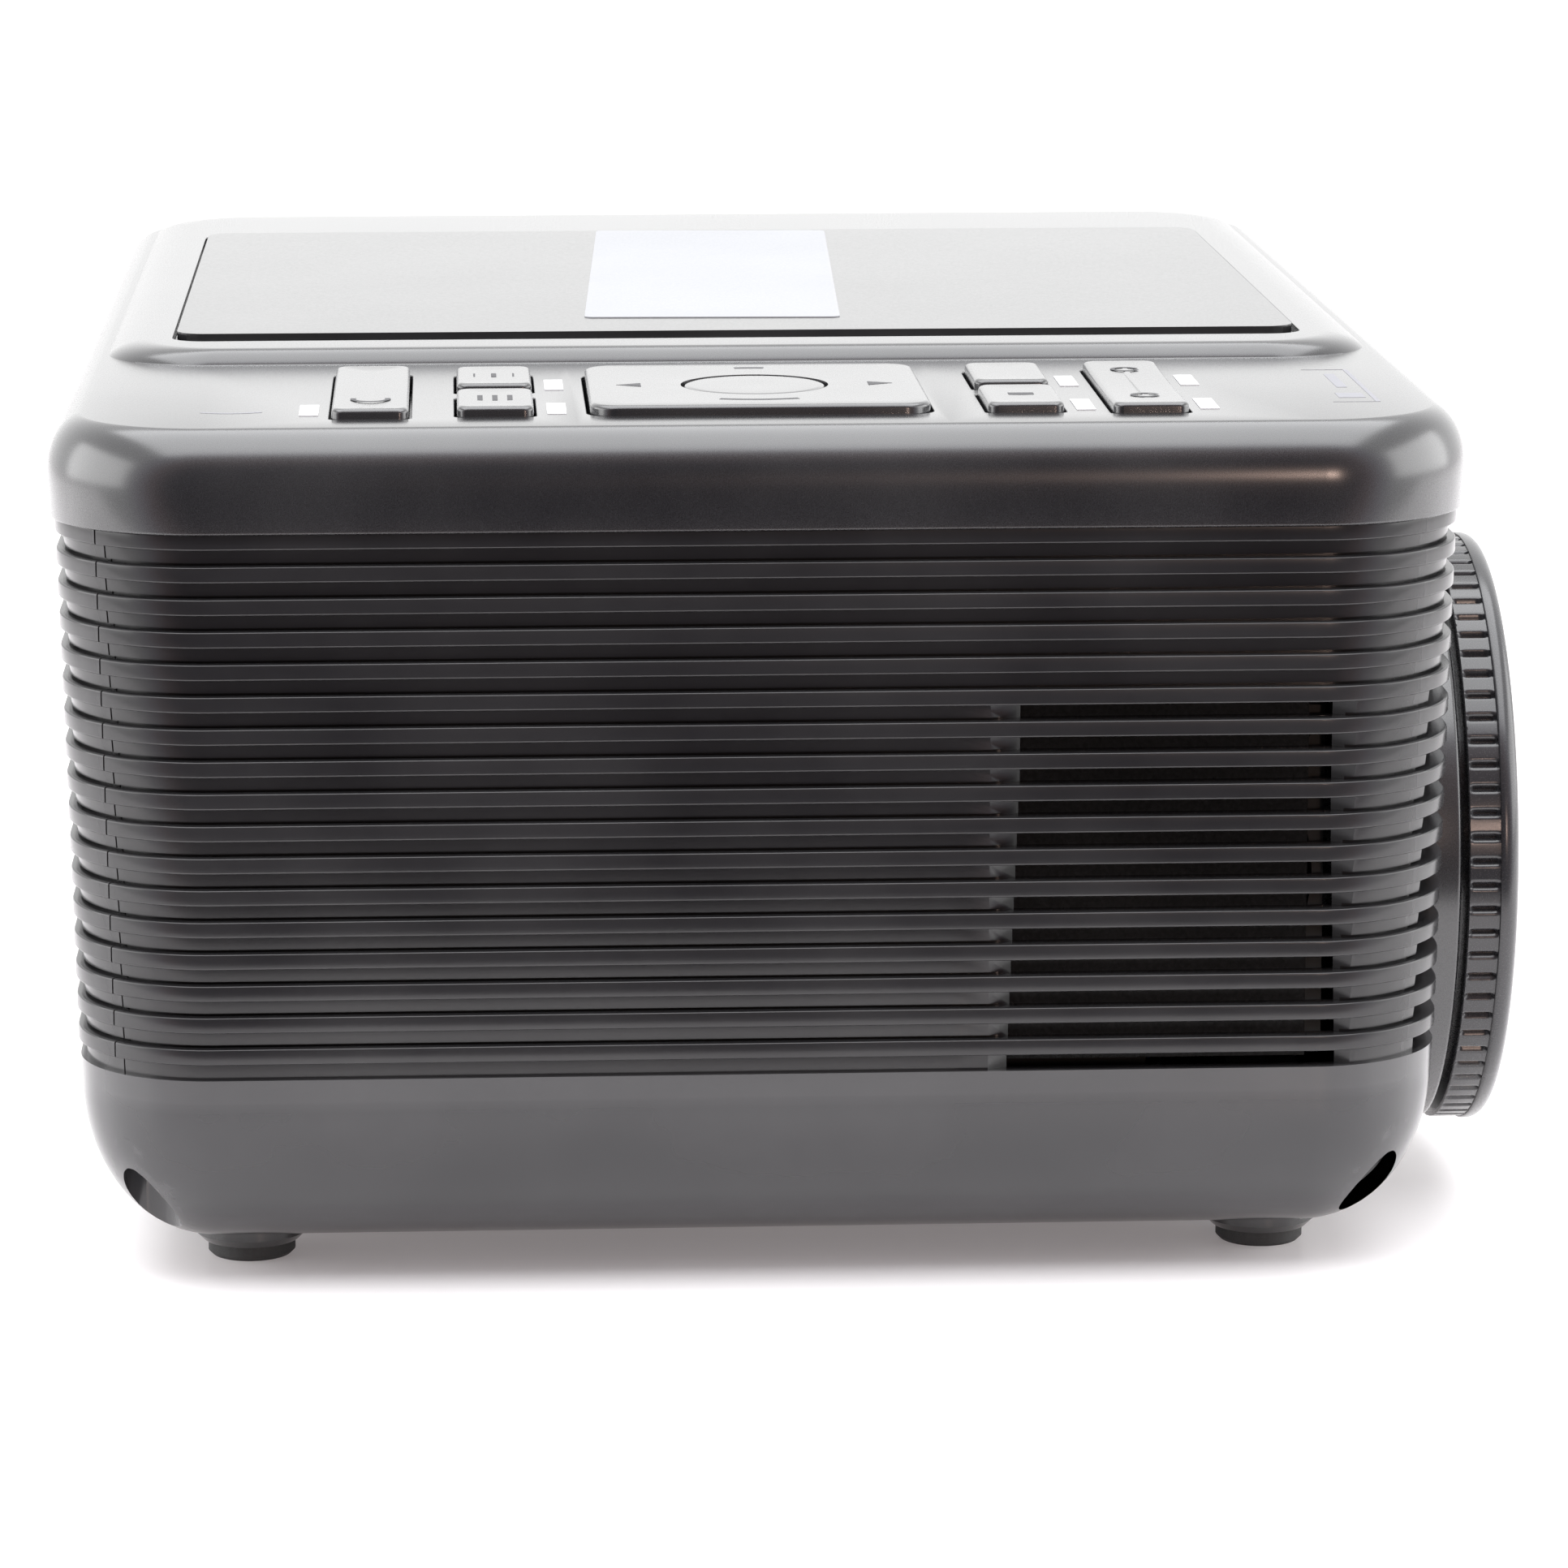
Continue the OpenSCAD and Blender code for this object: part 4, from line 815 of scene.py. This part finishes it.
def make_keys(looks):
    look = looks["key_gloss"]

    def add(obj, body, *replaced):
        finish_piece(smooth(obj, 30), body, "key_gloss", look, *replaced)

    add(key_cap("cap_power", -OUTER_KEY_X, KEYS_Y, KEY_W, TALL_KEY_L, KEY_CORNER, 0.25), "power_key", "power_key")
    add(key_cap("cap_rocker", OUTER_KEY_X, KEYS_Y, KEY_W, TALL_KEY_L - 0.6, KEY_CORNER, 0.05, 0.3, TILT_DROP),
        "rocker_key", "rocker_key")
    for body, sx, sy in (("key_menu", -1, -1), ("key_source", -1, 1), ("key_back", 1, -1), ("key_mode", 1, 1)):
        add(key_cap("cap_" + body, sx * INNER_KEY_X, KEYS_Y + sy * SMALL_KEY_Y, KEY_W, SMALL_KEY_L, KEY_CORNER, 0.1),
            body, body)
    pad = key_cap("cap_pad", 0, KEYS_Y, PAD_W, PAD_L, PAD_CORNER, 0.1, drop=TILT_DROP)
    combine(pad, [rod("hole", 0, KEYS_Y, KEY_TOP, OK_R + 0.35, 12)], "DIFFERENCE")
    soften(smooth(pad, 30), 0.25, 2, 60)
    finish_piece(pad, "nav_pad", "key_gloss", look, "nav_pad")
    add(make_ok_key(), "ok_key", "ok_key")


def bars(x, y, step, w, l, z):
    """Three short bars side by side."""
    return [mark("m", [(x + s * step, y - l / 2), (x + s * step, y + l / 2)], w, z) for s in (-1, 0, 1)]


def make_pad_marks(looks):
    """Two arrows and two short arcs round the centre key."""
    reach, top = 18.4, KEY_TOP - PRINT_SINK
    pad = [arrow("m", side * reach, KEYS_Y, side, 0, 2.3, top - 0.02) for side in (-1, 1)]
    pad += [mark("m", arc(0, KEYS_Y, reach, 83, 97), 1.6, top - 0.04),
            mark("m", arc(0, KEYS_Y, reach - 1.5, 250, 290), 1.2, top - 0.04)]
    print_marks("marks_pad", pad, "nav_pad", looks)


def make_key_marks(looks):
    """Plain symbols on the keys: bars, a dash, an arc and two open rings."""
    top = KEY_TOP - PRINT_SINK
    low = top - 0.08
    front, back = KEYS_Y - SMALL_KEY_Y, KEYS_Y + SMALL_KEY_Y
    print_marks("marks_key_menu", bars(-INNER_KEY_X, front, 2.2, 0.8, 5.5, low), "key_menu", looks)
    print_marks("marks_key_source", bars(-INNER_KEY_X, back, 3.2, 0.8, 4, low), "key_source", looks)
    dash = mark("m", [(INNER_KEY_X - 1.9, front), (INNER_KEY_X + 1.9, front)], 2.2, low)
    print_marks("marks_key_back", [dash], "key_back", looks)
    sweep_mark = mark("m", arc(-OUTER_KEY_X, KEYS_Y - 13, 2.6, 160, 380), 0.8, low)
    print_marks("marks_power", [sweep_mark], "power_key", looks)
    knobs = [mark("m", arc(OUTER_KEY_X, KEYS_Y + s * 14.5, 1.9, 20, 340), 0.7, top - 0.14) for s in (-1, 1)]
    print_marks("marks_rocker", knobs, "rocker_key", looks)


def make_strip_marks(looks):
    """Plain prints on the control strip: an arc at one end, a frame with two bars at the other."""
    strip = [mark("m", arc(-77.6, -113, 9, 241, 299), 0.9, STRIP_Z),
             mark("m", [(85.6, -119), (92, -119), (92, -83), (85.6, -83)], 0.7, STRIP_Z, closed=True),
             mark("m", [(86.8, -112), (90.8, -112)], 5, STRIP_Z),
             mark("m", [(88.8, -103), (88.8, -88)], 1.6, STRIP_Z)]
    print_marks("marks_strip", strip, "case", looks, "case_black", "print_grey")


# ---- Studio ----

# Places, lights and floor are in metres from here on.
CAMERA_AT = (-50.2 * MM, -1044.8 * MM, 258.4 * MM)
CAMERA_PITCH = math.radians(10.95)
CAMERA_YAW = math.radians(2.991)
CAMERA_ROLL = math.radians(-0.047)
CAMERA_LENS = 145.34
CAMERA_SHIFT = (0.0, -0.0239)


def make_camera():
    data = bpy.data.cameras.new("camera")
    data.sensor_width = 36
    data.lens = CAMERA_LENS
    data.shift_x, data.shift_y = CAMERA_SHIFT
    data.clip_start, data.clip_end = 0.05, 20
    camera = bpy.data.objects.new("camera", data)
    bpy.context.scene.collection.objects.link(camera)
    forward = Vector((
        math.sin(CAMERA_YAW) * math.cos(CAMERA_PITCH),
        math.cos(CAMERA_YAW) * math.cos(CAMERA_PITCH),
        -math.sin(CAMERA_PITCH),
    ))
    right = Vector((math.cos(CAMERA_YAW), -math.sin(CAMERA_YAW), 0))
    up = right.cross(forward)
    rolled_right = right * math.cos(CAMERA_ROLL) + up * math.sin(CAMERA_ROLL)
    rolled_up = up * math.cos(CAMERA_ROLL) - right * math.sin(CAMERA_ROLL)
    turn = Matrix((rolled_right, rolled_up, -forward)).transposed()
    camera.matrix_world = Matrix.Translation(CAMERA_AT) @ turn.to_4x4()
    bpy.context.scene.camera = camera


def area_light(name, at, target, size, power, colour=(1, 1, 1)):
    data = bpy.data.lights.new(name, "AREA")
    data.shape = "RECTANGLE"
    data.size, data.size_y = size
    data.energy = power
    data.color = colour
    light = bpy.data.objects.new(name, data)
    bpy.context.scene.collection.objects.link(light)
    light.location = at
    light.rotation_euler = (Vector(target) - Vector(at)).to_track_quat("-Z", "Y").to_euler()


FLOOR_FRONT, FLOOR_BACK, FLOOR_SIDE = -0.271, 9, 9
# Strength of the floor's glow: painted fill light that lifts the shadow under the case.
FLOOR_FILL_GLOW = 0.17


def make_floor():
    bm = bmesh.new()
    corners = ((-FLOOR_SIDE, FLOOR_FRONT), (FLOOR_SIDE, FLOOR_FRONT),
               (FLOOR_SIDE, FLOOR_BACK), (-FLOOR_SIDE, FLOOR_BACK))
    bm.faces.new([bm.verts.new((x, y, 0)) for x, y in corners])
    floor = new_object("floor", bm)
    look = textured("floor_white", (0.86, 0.845, 0.85), (0.3, 0.4), 600, 0.02, wear=0.0)
    # The floor glows faintly with a pink tint: painted fill light that lifts and tints the shadow under the case.
    shader_of(look).inputs["Emission Color"].default_value = (1, 0.93, 0.94, 1)
    shader_of(look).inputs["Emission Strength"].default_value = FLOOR_FILL_GLOW
    floor.data.materials.append(look)


# World colour by direction: 0 is straight towards -Y, 1 is off to the sides and beyond.
FRONT_RAMP = ((0.0, (0.03, 0.027, 0.03)), (0.12, (0.035, 0.03, 0.034)), (0.3, (0.3, 0.2, 0.19)),
              (0.5, (0.6, 0.58, 0.66)), (0.75, (1, 1, 1)))


def make_world():
    """Light tent: bright above, behind and beside, dark towards the camera with a warm border."""
    world = bpy.data.worlds.new("studio")
    bpy.context.scene.world = world
    world.use_nodes = True
    tree = world.node_tree
    coords = tree.nodes.new("ShaderNodeTexCoord")
    split = tree.nodes.new("ShaderNodeSeparateXYZ")
    tree.links.new(coords.outputs["Generated"], split.inputs["Vector"])
    reach = tree.nodes.new("ShaderNodeMapRange")
    reach.inputs["From Min"].default_value = -0.95
    reach.inputs["From Max"].default_value = -0.35
    tree.links.new(split.outputs["Y"], reach.inputs["Value"])
    ramp = tree.nodes.new("ShaderNodeValToRGB")
    stops = ramp.color_ramp.elements
    while len(stops) < len(FRONT_RAMP):
        stops.new(0.5)
    for stop, (position, colour) in zip(stops, FRONT_RAMP):
        stop.position = position
        stop.color = (*colour, 1)
    tree.links.new(reach.outputs["Result"], ramp.inputs["Fac"])
    sky = tree.nodes["Background"]
    tree.links.new(ramp.outputs["Color"], sky.inputs["Color"])
    sky.inputs["Strength"].default_value = 1.35


def make_lights():
    make_world()
    area_light("overhead", (0, -0.3, 1.5), (0, -0.3, 0), (2.0, 2.1), 46, (0.97, 0.98, 1.0))
    for side in (-1, 1):
        area_light("side_softbox", (side * 1.25, -0.15, 0.42), (0, -0.1, 0.1), (1.3, 0.7), 8)
    area_light("warm_spark", (0.36, -1.31, 0.27), (0.09, -0.13, 0.11), (0.07, 0.07), 1.2, (1.0, 0.72, 0.6))
    bpy.context.scene.view_settings.view_transform = "Standard"


looks = make_materials()
paint_cad_nodes(looks)
make_top_cover(looks)
make_bottom_cover(looks)
make_walls(looks)
make_focus_ring(looks)
make_lens_parts(looks)
make_keys(looks)
make_pad_marks(looks)
make_key_marks(looks)
make_strip_marks(looks)
make_floor()
make_camera()
make_lights()
